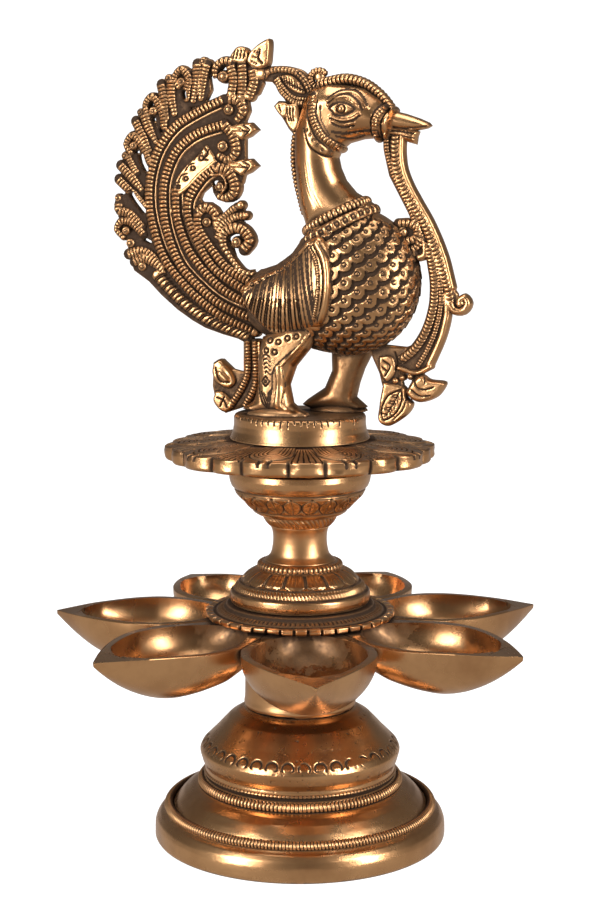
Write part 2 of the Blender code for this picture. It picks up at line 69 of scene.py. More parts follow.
def make_camera():
    camera = bpy.data.cameras.new("camera")
    camera.lens = CAMERA_LENS
    camera.sensor_width = 36.0
    camera.clip_start = 0.01
    obj = bpy.data.objects.new("camera", camera)
    bpy.context.scene.collection.objects.link(obj)
    obj.location = (
        CAMERA_DISTANCE * math.sin(CAMERA_AZIMUTH),
        -CAMERA_DISTANCE * math.cos(CAMERA_AZIMUTH),
        CAMERA_HEIGHT,
    )
    obj.rotation_euler = (math.pi / 2 - CAMERA_PITCH, 0.0, CAMERA_AZIMUTH)
    bpy.context.scene.camera = obj


# Meshes from grids


def grid_faces(rows, columns, wrap_rows=False, wrap_columns=False):
    """Quads of a grid whose points are numbered row by row."""
    r = np.arange(rows if wrap_rows else rows - 1)
    c = np.arange(columns if wrap_columns else columns - 1)
    r0, c0 = np.meshgrid(r, c, indexing="ij")
    r1 = (r0 + 1) % rows
    c1 = (c0 + 1) % columns
    quads = np.stack([r0 * columns + c0, r1 * columns + c0, r1 * columns + c1, r0 * columns + c1], axis=-1)
    return quads.reshape(-1, 4)


def end_caps(rows, columns):
    """The two faces that close an open tube of the given grid."""
    return [list(range(columns)), [(rows - 1) * columns + i for i in reversed(range(columns))]]


def spun(radius, turn, height):
    """Points at the given radii, turns and heights about the lamp's axis."""
    return np.stack([radius * np.cos(turn), radius * np.sin(turn), height], axis=-1)


def signed_volume(points, quads):
    a, b, c, d = (points[quads[:, i]] for i in range(4))
    first = np.einsum("ij,ij->i", a, np.cross(b, c))
    second = np.einsum("ij,ij->i", a, np.cross(c, d))
    return float((first + second).sum())


def mesh_piece(name, points, quads, patina_and_shade, extra_faces=()):
    """An object from points in millimetres, quads, and a few larger faces such as caps."""
    points = np.asarray(points, dtype=np.float64).reshape(-1, 3)
    quads = np.asarray(quads, dtype=np.int64)
    extra_faces = [list(face) for face in extra_faces]
    if signed_volume(points, quads) < 0.0:
        quads = quads[:, ::-1]
        extra_faces = [face[::-1] for face in extra_faces]
    loops = np.concatenate([quads.reshape(-1)] + [np.array(face) for face in extra_faces])
    totals = np.concatenate([np.full(len(quads), 4), [len(face) for face in extra_faces]]).astype(np.int32)
    starts = np.concatenate([[0], np.cumsum(totals)[:-1]]).astype(np.int32)
    mesh = bpy.data.meshes.new(name)
    mesh.vertices.add(len(points))
    mesh.vertices.foreach_set("co", (points * MM).astype(np.float32).reshape(-1))
    mesh.loops.add(len(loops))
    mesh.loops.foreach_set("vertex_index", loops.astype(np.int32))
    mesh.polygons.add(len(totals))
    mesh.polygons.foreach_set("loop_start", starts)
    mesh.polygons.foreach_set("loop_total", totals)
    mesh.update(calc_edges=True)
    mesh.validate()
    mesh.shade_smooth()
    mesh.set_sharp_from_angle(angle=math.radians(50))
    layer = mesh.attributes.new("patina_and_shade", "FLOAT", "POINT")
    layer.data.foreach_set("value", np.asarray(patina_and_shade, dtype=np.float32).reshape(-1))
    obj = bpy.data.objects.new(name, mesh)
    bpy.context.scene.collection.objects.link(obj)
    return obj


def dress(obj, body, slot, *replaced):
    """Puts a finished piece on its body, in its slot, in place of the CAD nodes it stands for."""
    obj.data.materials.append(BRASS[slot])
    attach(obj, body)
    if replaced:
        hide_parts(*replaced)


# Outlines


def soften(outline, radius, closed=True, steps=4):
    """Rounds the corners of an outline with short curves; radius is how far each corner is cut back."""
    points = [np.array(point, dtype=float) for point in outline]
    count = len(points)
    out = []
    for i, corner in enumerate(points):
        if not closed and i in (0, count - 1):
            out.append(corner)
            continue
        before = points[i - 1]
        after = points[(i + 1) % count]
        to_before = before - corner
        to_after = after - corner
        start = corner + to_before * min(0.45, radius / np.linalg.norm(to_before))
        end = corner + to_after * min(0.45, radius / np.linalg.norm(to_after))
        for k in range(steps + 1):
            t = k / steps
            out.append((1 - t) ** 2 * start + 2 * t * (1 - t) * corner + t ** 2 * end)
    return np.array(out)


def resample(line, step, closed=True):
    """Points along a line no further apart than step, keeping every given point."""
    line = np.asarray(line, dtype=float)
    following = np.roll(line, -1, axis=0) if closed else line[1:]
    out = []
    for start, end in zip(line, following):
        pieces = max(1, int(math.ceil(np.linalg.norm(end - start) / step)))
        for k in range(pieces):
            out.append(start + (end - start) * k / pieces)
    if not closed:
        out.append(line[-1])
    return np.array(out)


def smooth_step(low, high, value):
    t = np.clip((value - low) / (high - low), 0.0, 1.0)
    return t * t * (3.0 - 2.0 * t)


def line_mark(distance, half_width):
    """1 on an engraved line, falling smoothly to 0 at half_width from its middle."""
    return 1.0 - smooth_step(0.35 * half_width, half_width, np.abs(distance))


NOISE_CELLS = 64


def value_noise(x, y, seed, scale):
    """Smooth repeatable noise from -1 to 1, on cells of the given scale."""
    rng = np.random.default_rng(seed)
    table = rng.uniform(-1.0, 1.0, (NOISE_CELLS, NOISE_CELLS))
    u = x / scale
    v = y / scale
    i = np.floor(u).astype(int)
    j = np.floor(v).astype(int)
    fu = u - i
    fv = v - j
    fu = fu * fu * (3 - 2 * fu)
    fv = fv * fv * (3 - 2 * fv)
    a = table[i % NOISE_CELLS, j % NOISE_CELLS]
    b = table[(i + 1) % NOISE_CELLS, j % NOISE_CELLS]
    c = table[i % NOISE_CELLS, (j + 1) % NOISE_CELLS]
    d = table[(i + 1) % NOISE_CELLS, (j + 1) % NOISE_CELLS]
    return (a * (1 - fu) + b * fu) * (1 - fv) + (c * (1 - fu) + d * fu) * fv


# Turned pieces


def spun_grid(line, segments):
    """Radius, height and turn of every point of an outline spun about the lamp's axis."""
    theta = np.arange(segments) * TAU / segments
    r = np.repeat(line[:, 0][:, None], segments, axis=1)
    z = np.repeat(line[:, 1][:, None], segments, axis=1)
    turn = np.repeat(theta[None, :], len(line), axis=0)
    return r, z, turn


def lathe(name, profile, segments, relief=None, corner=0.35, step=2.0, patina_and_shade=0.0):
    """Spins a closed (radius, height) outline. relief(theta, r, z) gives height and patina arrays, the
    patina holding painted shade in places.
    """
    line = resample(soften(profile, corner), step)
    tangent = np.roll(line, -1, axis=0) - np.roll(line, 1, axis=0)
    tangent /= np.maximum(np.linalg.norm(tangent, axis=1), 1e-9)[:, None]
    area = np.sum(line[:, 0] * np.roll(line[:, 1], -1) - np.roll(line[:, 0], -1) * line[:, 1])
    normal = np.stack([tangent[:, 1], -tangent[:, 0]], axis=1) * (1.0 if area > 0 else -1.0)
    r, z, turn = spun_grid(line, segments)
    dark = np.full(r.shape, float(patina_and_shade))
    if relief is not None:
        height, extra = relief(turn, r, z)
        r = r + height * normal[:, 0][:, None]
        z = z + height * normal[:, 1][:, None]
        dark = np.clip(dark + extra, 0.0, 1.0)
    points = spun(r, turn, z)
    return mesh_piece(name, points, grid_faces(len(line), segments, True, True), dark)


def stitched_ring(name, radius, height, half_width, half_height, count, depth, slant=0.0, tilt=0.0,
                  samples=8):
    """A raised ring cut across by regular notches, like twisted cord; tilt leans its section outwards."""
    segments = count * samples
    around = 14
    theta = np.arange(segments) * TAU / segments
    section = np.arange(around) * TAU / around
    turn, s = np.meshgrid(theta, section, indexing="ij")
    phase = np.abs(np.sin(0.5 * (turn * count) + slant * np.sin(s)))
    fullness = 1.0 - depth * (1.0 - phase ** 0.6)
    a = half_width * np.cos(s) * fullness
    b = half_height * np.sin(s) * fullness
    r = radius + a * math.cos(tilt) - b * math.sin(tilt)
    z = height + a * math.sin(tilt) + b * math.cos(tilt)
    dark = 0.95 * (1.0 - smooth_step(0.15, 0.6, phase)) * smooth_step(-0.6, 0.3, np.cos(s) + np.sin(s))
    dark = np.maximum(dark, 0.8 * (1.0 - smooth_step(-0.5, 0.1, np.cos(s - 0.6))))
    points = spun(r, turn, z)
    return mesh_piece(name, points, grid_faces(segments, around, True, True), dark)


# Brass: clean metal, the brown bloom on it, the umber of handled and sooty places, and black tarnish; the
# umber and the black also carry painted shade and painted shadow from the stored attribute

GOLD = (0.66, 0.365, 0.168, 1.0)
BROWN = (0.38, 0.18, 0.075, 1.0)
UMBER = (0.13, 0.066, 0.030, 1.0)
TARNISH = (0.034, 0.019, 0.011, 1.0)
BLACK = (0.0, 0.0, 0.0, 1.0)
WHITE = (1.0, 1.0, 1.0, 1.0)
RECESS_REACH = 0.0028
GRAIN_HEIGHT = 0.0004


def new_material(name):
    material = bpy.data.materials.new(name)
    material.use_nodes = True
    tree = material.node_tree
    tree.nodes.clear()
    return material, tree


def add_node(tree, kind, **inputs):
    node = tree.nodes.new(kind)
    for key, value in inputs.items():
        node.inputs[key.replace("_", " ")].default_value = value
    return node


def ramp(tree, source, stops):
    node = tree.nodes.new("ShaderNodeValToRGB")
    elements = node.color_ramp.elements
    while len(elements) < len(stops):
        elements.new(0.5)
    for element, (position, colour) in zip(elements, stops):
        element.position = position
        element.color = colour
    tree.links.new(source, node.inputs["Fac"])
    return node


def math_node(tree, operation, first, second=None, clamp=False):
    node = tree.nodes.new("ShaderNodeMath")
    node.operation = operation
    node.use_clamp = clamp
    for socket, value in zip(node.inputs, (first, second)):
        if value is None:
            continue
        if isinstance(value, (int, float)):
            socket.default_value = value
        else:
            tree.links.new(value, socket)
    return node.outputs[0]


def mix_colour(tree, factor, first, second):
    node = tree.nodes.new("ShaderNodeMix")
    node.data_type = "RGBA"
    for socket, value in ((node.inputs["Factor"], factor), (node.inputs[6], first),
                          (node.inputs[7], second)):
        if isinstance(value, (tuple, float, int)):
            socket.default_value = value
        else:
            tree.links.new(value, socket)
    return node.outputs[2]


def brass(name, roughness, crevice, blotch, grain, turned_lines=0.0):
    """Golden brass with brown bloom, black tarnish in its recesses, cast grain, and fine turned lines."""
    material, tree = new_material(name)
    output = tree.nodes.new("ShaderNodeOutputMaterial")
    shader = tree.nodes.new("ShaderNodeBsdfPrincipled")
    tree.links.new(shader.outputs["BSDF"], output.inputs["Surface"])
    place = tree.nodes.new("ShaderNodeTexCoord")
    large = add_node(tree, "ShaderNodeTexNoise", Scale=55.0, Detail=4.0, Roughness=0.6)
    fine = add_node(tree, "ShaderNodeTexNoise", Scale=900.0, Detail=3.0, Roughness=0.6)
    pits = add_node(tree, "ShaderNodeTexNoise", Scale=330.0, Detail=5.0, Roughness=0.7)
    for noise in (large, fine, pits):
        tree.links.new(place.outputs["Object"], noise.inputs["Vector"])
    occlusion = tree.nodes.new("ShaderNodeAmbientOcclusion")
    occlusion.samples = 6
    occlusion.only_local = False
    occlusion.inputs["Distance"].default_value = RECESS_REACH
    recess = math_node(tree, "SUBTRACT", 1.0, occlusion.outputs["AO"])
    recess = math_node(tree, "MULTIPLY", recess, 1.15 * crevice)
    # The stored attribute is mostly patina. On the far leg, on the bowls and hub near the bowls' inner
    # ends, and under the body's scale lips it holds painted shade and painted shadow, which darken the
    # colour through UMBER and TARNISH.
    stored = tree.nodes.new("ShaderNodeAttribute")
    stored.attribute_name = "patina_and_shade"
    tarnish = math_node(tree, "ADD", recess, stored.outputs["Fac"])
    wander = math_node(tree, "MULTIPLY", math_node(tree, "SUBTRACT", pits.outputs["Fac"], 0.5), 0.9)
    tarnish = math_node(tree, "ADD", tarnish, wander)
    tarnish = ramp(tree, tarnish, [(0.42, BLACK), (0.95, WHITE)]).outputs["Color"]
    bloom = ramp(tree, large.outputs["Fac"], [(0.40, BLACK), (0.68, WHITE)]).outputs["Color"]
    bloom = math_node(tree, "MULTIPLY", bloom, blotch)
    metal = mix_colour(tree, bloom, GOLD, BROWN)
    shade = ramp(tree, stored.outputs["Fac"], [(0.08, BLACK), (0.62, WHITE)]).outputs["Color"]
    metal = mix_colour(tree, math_node(tree, "MULTIPLY", shade, 0.85), metal, UMBER)
    colour = mix_colour(tree, tarnish, metal, TARNISH)
    tree.links.new(colour, shader.inputs["Base Color"])
    shine = math_node(tree, "SUBTRACT", 0.5, math_node(tree, "MULTIPLY", tarnish, 0.4))
    tree.links.new(shine, shader.inputs["Specular IOR Level"])
    dull = math_node(tree, "MULTIPLY", tarnish, -0.75)
    tree.links.new(math_node(tree, "ADD", 1.0, dull, clamp=True), shader.inputs["Metallic"])
    rough = math_node(tree, "MULTIPLY", large.outputs["Fac"], 0.16)
    rough = math_node(tree, "ADD", rough, roughness - 0.08)
    rough = math_node(tree, "ADD", rough, math_node(tree, "MULTIPLY", tarnish, 0.4), clamp=True)
    tree.links.new(rough, shader.inputs["Roughness"])
    bump = add_node(tree, "ShaderNodeBump", Strength=grain, Distance=GRAIN_HEIGHT)
    surface = math_node(tree, "ADD", math_node(tree, "MULTIPLY", fine.outputs["Fac"], 0.35),
                        pits.outputs["Fac"])
    if turned_lines > 0.0:
        stretch = tree.nodes.new("ShaderNodeMapping")
        stretch.inputs["Scale"].default_value = (30.0, 30.0, 9000.0)
        tree.links.new(place.outputs["Object"], stretch.inputs["Vector"])
        lines = add_node(tree, "ShaderNodeTexNoise", Scale=1.0, Detail=2.0)
        tree.links.new(stretch.outputs["Vector"], lines.inputs["Vector"])
        surface = math_node(tree, "ADD", surface,
                            math_node(tree, "MULTIPLY", lines.outputs["Fac"], turned_lines))
    tree.links.new(surface, bump.inputs["Height"])
    tree.links.new(bump.outputs["Normal"], shader.inputs["Normal"])
    return material


BRASS = {
    POLISHED: brass(POLISHED, 0.27, crevice=0.95, blotch=0.6, grain=0.12),
    SATIN: brass(SATIN, 0.33, crevice=0.95, blotch=0.5, grain=0.08, turned_lines=1.6),
    CHASED: brass(CHASED, 0.30, crevice=1.4, blotch=0.55, grain=0.28),
}


# Stage: glowing white paper that the brass doesn't reflect, two tall softboxes and a top light

PAPER_RADIUS = 4.0
PAPER_CURVE = 1.5
PAPER_HEIGHT = 4.0
PAPER_GREY = (0.30, 0.30, 0.30, 1.0)
PAPER_GLOW = 0.92
TABLE_GLOW = (0.50, 0.48, 0.46, 1.0)
ROOM_GLOW = (0.16, 0.155, 0.15, 1.0)
LIT_POINT = (0.0, 0.0, 0.11)


def area_light(name, location, target, width, height, power):
    light = bpy.data.lights.new(name, "AREA")
    light.energy = power
    light.shape = "RECTANGLE"
    light.size = width
    light.size_y = height
    obj = bpy.data.objects.new(name, light)
    obj.location = location
    obj.rotation_euler = (Vector(target) - Vector(location)).to_track_quat("-Z", "Y").to_euler()
    bpy.context.scene.collection.objects.link(obj)


def from_camera(side, ahead, up):
    """A place given from the lamp's axis: to the camera's right, towards the camera, and up."""
    right = Vector((math.cos(CAMERA_AZIMUTH), math.sin(CAMERA_AZIMUTH), 0.0))
    towards = Vector((math.sin(CAMERA_AZIMUTH), -math.cos(CAMERA_AZIMUTH), 0.0))
    return right * side + towards * ahead + Vector((0.0, 0.0, up))


def make_sweep():
    """White paper: a round floor that curves up into a wall all the way round."""
    line = [(0.001, 0.0)]
    for turn in np.linspace(0.0, math.pi / 2, 13):
        line.append((PAPER_RADIUS - PAPER_CURVE * (1.0 - math.sin(turn)),
                     PAPER_CURVE * (1.0 - math.cos(turn))))
    line.append((PAPER_RADIUS, PAPER_HEIGHT))
    sides = 96
    turns = [TAU * i / sides for i in range(sides)]
    points = [(r * math.cos(t), r * math.sin(t), up) for r, up in line for t in turns]
    quads = grid_faces(len(line), sides, False, True)[:, ::-1].tolist()
    mesh = bpy.data.meshes.new("sweep")
    mesh.from_pydata(points, [], quads)
    mesh.polygons.foreach_set("use_smooth", [True] * len(quads))
    sweep = bpy.data.objects.new("sweep", mesh)
    bpy.context.scene.collection.objects.link(sweep)
    material, tree = new_material("white_paper")
    output = tree.nodes.new("ShaderNodeOutputMaterial")
    shader = add_node(tree, "ShaderNodeBsdfPrincipled", Base_Color=PAPER_GREY, Roughness=0.9)
    shader.inputs["Specular IOR Level"].default_value = 0.0
    shader.inputs["Emission Color"].default_value = WHITE
    shader.inputs["Emission Strength"].default_value = PAPER_GLOW
    tree.links.new(shader.outputs["BSDF"], output.inputs["Surface"])
    sweep.data.materials.append(material)
    sweep.visible_glossy = False


def make_stage():
    make_sweep()
    world = bpy.data.worlds.new("studio")
    world.use_nodes = True
    tree = world.node_tree
    background = tree.nodes["Background"]
    place = tree.nodes.new("ShaderNodeTexCoord")
    split = tree.nodes.new("ShaderNodeSeparateXYZ")
    tree.links.new(place.outputs["Generated"], split.inputs[0])
    height = math_node(tree, "ADD", math_node(tree, "MULTIPLY", split.outputs["Z"], 0.5), 0.5)
    glow = ramp(tree, height, [(0.0, TABLE_GLOW), (0.44, TABLE_GLOW), (0.56, ROOM_GLOW), (1.0, ROOM_GLOW)])
    tree.links.new(glow.outputs["Color"], background.inputs["Color"])
    bpy.context.scene.world = world
    area_light("softbox_left", from_camera(-0.74, 0.66, 0.40), LIT_POINT, 0.36, 0.78, 12.0)
    area_light("softbox_right", from_camera(0.76, 0.56, 0.42), LIT_POINT, 0.30, 0.78, 9.5)
    area_light("top", from_camera(0.0, 0.0, 1.15), (0, 0, 0.1), 0.7, 0.7, 7.0)
    bpy.context.scene.view_settings.view_transform = "Standard"


# Foot and shoulder

SOCKET = 5.25


def make_foot():
    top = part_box("foot")[1][2] / MM
    profile = [
        (2.0, top), (29.9, top), (30.3, 20.6), (31.2, 20.3), (31.6, 19.2), (32.2, 17.6), (33.2, 17.3),
        (35.2, 16.5), (37.4, 15.0), (39.4, 12.9), (40.4, 11.6), (41.2, 10.4), (42.2, 9.9), (43.6, 9.4),
        (44.2, 8.9), (45.3, 8.3), (46.5, 6.7), (47.0, 4.9), (47.1, 3.4), (47.1, 0.9), (46.5, 0.0),
        (43.4, 0.0), (42.6, 4.5), (38.8, 9.0), (33.5, 13.4), (28.0, 17.2), (11.2, 17.2), (10.2, 16.2),
        (10.2, 0.8), (9.4, 0.0), (2.0, 0.0),
    ]

    def relief(theta, r, z):
        outside = (z > 0.5) & (r > 28.0)
        wobble = 0.05 * value_noise(theta * 9.0, z, 3, 1.3) * outside
        grooves = line_mark(np.hypot(r - 41.2, z - 10.2), 0.8)
        grooves = grooves + line_mark(np.hypot(r - 32.3, z - 17.4), 0.9)
        grooves = grooves + 0.8 * line_mark(np.hypot(r - 30.2, z - 20.7), 0.9)
        inside = (r < 43.0) & (z < 17.3) & ~((r > 33.0) & (z > 0.9 + (46.0 - r) * 1.05))
        return wobble, np.maximum(0.9 * grooves, 0.45 * inside)

    foot = lathe("foot_body", profile, 256, relief, corner=0.5, step=0.8)
    dress(foot, "base", POLISHED, "foot")
    lower = stitched_ring("foot_lower_ring", 42.7, 10.75, 1.55, 1.15, 250, 0.38, slant=0.6,
                          tilt=math.radians(-38))
    dress(lower, "base", CHASED)
    upper = stitched_ring("foot_upper_ring", 32.0, 18.9, 1.55, 1.1, 160, 0.40, slant=0.2,
                          tilt=math.radians(-58))
    dress(upper, "base", CHASED)


def make_shoulder():
    low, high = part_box("shoulder")
    top = high[2] / MM
    bottom = low[2] / MM
    profile = [
        (SOCKET, 33.9), (SOCKET, top), (17.4, top), (17.9, 42.2), (19.8, 41.5), (22.9, 39.6),
        (25.2, 37.2), (27.4, 34.8), (29.8, 32.4), (31.6, 30.6), (32.35, 29.0), (32.3, 28.2), (31.5, 25.4),
        (30.7, 23.6), (30.9, 22.6), (30.4, bottom), (27.0, bottom), (28.6, 27.6), (27.6, 30.2),
        (20.0, 36.8), (10.2, 38.8), (9.2, 37.8), (9.2, 31.5), (1.0, 31.5), (1.0, 33.9),
    ]
    circles = 38

    def relief(theta, r, z):
        face = (z > 29.2) & (z < 33.6) & (r > 28.6)
        along = (theta * circles / TAU) % 1.0 - 0.5
        x = along * TAU * 30.6 / circles
        y = (z - 31.0) * 1.25
        worn = smooth_step(-0.55, 0.1, value_noise(theta * 5.0, z, 11, 1.0) + 0.25)
        ring = line_mark(np.hypot(x, y) - 1.75, 0.42) * face * worn * smooth_step(-1.5, -0.6, y)
        pits = smooth_step(0.72, 0.95, value_noise(theta * 42.0, z * 1.4, 17, 1.0)) * (r > 20) * (z > 23)
        return -0.30 * ring - 0.10 * pits, 1.5 * ring + 0.8 * pits

    shoulder = lathe("shoulder_body", profile, 720, relief, corner=0.4, step=0.32)
    dress(shoulder, "base", POLISHED, "shoulder")
    bead = stitched_ring("waist_ring", 30.6, 21.9, 0.7, 0.5, 150, 0.10)
    dress(bead, "base", CHASED)


# Studs

PITCH = 1.5


def make_stud(node, body):
    """A stud with a rounded right-hand thread."""
    low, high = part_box(node)
    bottom = low[2] / MM
    top = high[2] / MM
    radius = high[0] / MM
    rows = int((top - bottom) / 0.14)
    segments = 64
    theta = np.arange(segments) * TAU / segments
    z = np.linspace(bottom, top, rows)
    zz, turn = np.meshgrid(z, theta, indexing="ij")
    wave = 0.5 + 0.5 * np.cos(TAU * (zz / PITCH - turn / TAU))
    ends = np.minimum(smooth_step(0.0, 0.9, zz - bottom), smooth_step(0.0, 0.9, top - zz))
    r = radius - 0.05 - 0.75 * (1.0 - wave ** 0.8) - 0.7 * (1.0 - ends)
    points = spun(r, turn, zz)
    caps = end_caps(rows, segments)
    stud = mesh_piece(node + "_thread", points, grid_faces(rows, segments, False, True), 0.55 * (1 - wave),
                      caps)
    dress(stud, body, SATIN, node)


# Dish: hub, bowls and collar

BOWLS = 7
BOWL_START = 21.6
BOWL_TIP = 81.0
BOWL_HALF_WIDTH = 20.3
BOWL_DEPTH = 16.0
BOWL_RIM = 72.1
BOWL_WALL = 2.7
HOLLOW_START = BOWL_START + 3.6
HOLLOW_END = BOWL_TIP - 8.6
BOWL_LIP = 0.35
FIRST_BOWL = math.radians(-70.3)


def make_hub():
    low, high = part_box("dish_hub")
    bottom = low[2] / MM
    top = high[2] / MM
    profile = [
        (SOCKET, 63.6), (SOCKET, top), (20.9, top), (21.0, 66.0), (19.6, 62.8), (18.5, 60.6),
        (17.9, 57.0), (17.7, 52.0), (17.8, 46.0), (18.1, 44.2), (17.6, bottom), (SOCKET, bottom),
        (SOCKET, 55.2), (1.0, 55.2), (1.0, 63.6),
    ]

    def relief(theta, r, z):
        outside = r > 16.5
        seam = (1.0 - smooth_step(0.0, 0.9, z - bottom)) * outside
        patchy = smooth_step(-0.3, 0.5, value_noise(theta * 6.0, z, 5, 1.2))
        # Darker towards the top, where the hub runs in under the bowls: painted shade, with soot.
        soot_and_shade = smooth_step(59.0, 66.0, z) * outside
        return -0.12 * seam * patchy, 0.9 * seam * patchy + 0.5 * soot_and_shade

    hub = lathe("neck_hub", profile, 256, relief, corner=0.5, step=0.5)
    dress(hub, "dish", SATIN, "dish_hub")


def bowl_width(x):
    """Half the bowl's outside width at a distance from the lamp's axis."""
    widest = 49.0
    back = np.clip((widest - x) / (widest - BOWL_START), 0.0, 1.0)
    room = x * math.tan(math.pi / BOWLS) - 0.1
    hub_side = np.minimum(room, 8.6 + (BOWL_HALF_WIDTH - 8.6) * np.sqrt(1.0 - back ** 2.2))
    ahead = np.clip((x - widest) / (BOWL_TIP - widest), 0.0, 1.0)
    spout_side = BOWL_HALF_WIDTH * (1.0 - ahead ** 1.65) + 0.35 * ahead
    return np.where(x < widest, hub_side, spout_side)


def bowl_depth(x):
    """The bowl's outside depth below its rim."""
    deepest = 55.0
    back = np.clip((deepest - x) / (deepest - BOWL_START), 0.0, 1.0)
    ahead = np.clip((x - deepest) / (BOWL_TIP - deepest), 0.0, 1.0)
    return np.where(x < deepest, 9.0 + (BOWL_DEPTH - 9.0) * (1.0 - back ** 1.7),
                    BOWL_DEPTH * (1.0 - ahead ** 1.75) + 1.3 * ahead)


def bowl_points(x, turn, inner):
    """Points of the outer or inner skin; turn runs from one rim (0) to the other (pi)."""
    droop = np.clip((x - 55.0) / (BOWL_TIP - 55.0), 0.0, 1.0)
    rim = BOWL_RIM - 1.4 * droop ** 2
    if inner:
        middle = 49.5
        t = np.clip((x - middle) / np.where(x < middle, middle - HOLLOW_START, HOLLOW_END - middle), -1.0,
                    1.0)
        wide = np.minimum(bowl_width(x) - BOWL_WALL, 17.4 * (1.0 - np.abs(t) ** 2.1) ** 0.62)
        wide = np.maximum(wide, 0.0)
        deep = (BOWL_DEPTH - 2.6) * (1.0 - np.abs(t) ** 2.4) ** 0.62
        power = 0.80
    else:
        wide = bowl_width(x)
        deep = bowl_depth(x)
        power = 0.85 + 0.45 * smooth_step(0.35, 1.0, droop)
    y = wide * np.cos(turn)
    z = rim - deep * np.abs(np.sin(turn)) ** power
    return np.stack([x, y, z], axis=-1)


def make_bowls():
    stations = 96
    around = 56
    x = BOWL_START + (BOWL_TIP - BOWL_START) * 0.5 * (1.0 - np.cos(np.pi * np.linspace(0.0, 1.0, stations)))
    turn = 0.5 * np.pi * (1.0 - np.cos(np.pi * np.linspace(0.0, 1.0, around)))
    xx, tt = np.meshgrid(x, turn, indexing="ij")
    outer = bowl_points(xx, tt, False)
    inner = bowl_points(xx, tt[:, ::-1], True)
    solid = (xx < HOLLOW_START + 0.05) | (xx > HOLLOW_END - 0.05)
    flat = outer[:, ::-1].copy()
    flat[..., 2] = outer[:, :1, 2]
    flat[..., 1] *= 0.8
    inner = np.where(solid[..., None], flat, inner)
    lip_out = outer[:, :1].copy(), outer[:, -1:].copy()
    for lip, sign in zip(lip_out, (1.0, -1.0)):
        lip[..., 1] -= sign * np.minimum(BOWL_LIP, 0.3 * np.abs(lip[..., 1]))
    outer_skin = outer.copy()
    outer_skin[:, 0, 2] -= BOWL_LIP
    outer_skin[:, -1, 2] -= BOWL_LIP
    ring = np.concatenate([lip_out[0], outer_skin, lip_out[1], inner], axis=1)
    soot_and_shade = np.zeros(ring.shape[:2])
    ragged = 2.0 * value_noise(ring[..., 0], ring[..., 1], 8, 4.0)
    # Darker towards the hub, inside and outside: painted shadow under the overhanging toothed collar,
    # together with grime; the inside also gets an uneven dull tone.
    hub_shadow_and_grime = 1.0 - smooth_step(24.0, 52.0, ring[..., 0] + ragged)
    count = around + 2
    dull = 0.20 + 0.10 * value_noise(ring[..., 0], ring[..., 1], 9, 5.0)
    soot_and_shade[:, count:] = np.maximum(0.62 * hub_shadow_and_grime[:, count:], dull[:, count:])
    soot_and_shade[:, :count] = 0.40 * hub_shadow_and_grime[:, :count]
    caps = end_caps(stations, ring.shape[1])
    quads = grid_faces(stations, ring.shape[1], False, True)
    for index in range(BOWLS):
        angle = FIRST_BOWL + index * TAU / BOWLS
        c, s = math.cos(angle), math.sin(angle)
        points = ring.copy()
        points[..., 0] = ring[..., 0] * c - ring[..., 1] * s
        points[..., 1] = ring[..., 0] * s + ring[..., 1] * c
        points[..., 2] += 0.10 * value_noise(points[..., 0], points[..., 1], 20 + index, 9.0)
        node = "bowl_%d" % (index + 1)
        dress(mesh_piece(node + "_shell", points, quads, soot_and_shade, caps), "dish", POLISHED, node)


def make_collar():
    low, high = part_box("toothed_collar")
    bottom = low[2] / MM
    top = high[2] / MM
    edge = high[0] / MM
    teeth = 42
    profile = [
        (5.6, top), (23.4, top), (24.1, 76.3), (24.3, 75.6), (25.4, 75.5), (26.4, 75.0), (26.8, 74.5),
        (27.6, 74.3), (28.4, 74.6), (29.4, 74.8), (edge, 74.5), (edge, bottom + 0.5),
        (edge - 0.7, bottom), (5.6, bottom),
    ]

    def relief(theta, r, z):
        phase = np.abs(np.sin(0.5 * theta * teeth + 0.15 * np.sin(theta * 5.0)))
        rim = smooth_step(27.8, 29.2, r)
        valley = (1.0 - smooth_step(0.0, 0.45, phase)) * rim
        cord = np.abs(np.sin(0.5 * theta * 108))
        band = smooth_step(24.2, 24.8, r) * (1.0 - smooth_step(26.0, 26.6, r))
        groove = line_mark(r - 27.3, 0.75) + line_mark(r - 24.1, 0.45)
        uneven = 0.22 * value_noise(theta * 7.0, z, 31, 1.0) * rim
        height = -1.3 * valley - 0.45 * (1.0 - cord) * band + uneven
        return height, np.maximum.reduce([1.1 * valley, 1.0 * groove, 1.0 * (1.0 - cord ** 0.7) * band,
                                          0.5 * (r < 28.0)])

    collar = lathe("toothed_ring", profile, teeth * 24, relief, corner=0.3, step=0.45)
    dress(collar, "dish", CHASED, "toothed_collar")


# Pillar


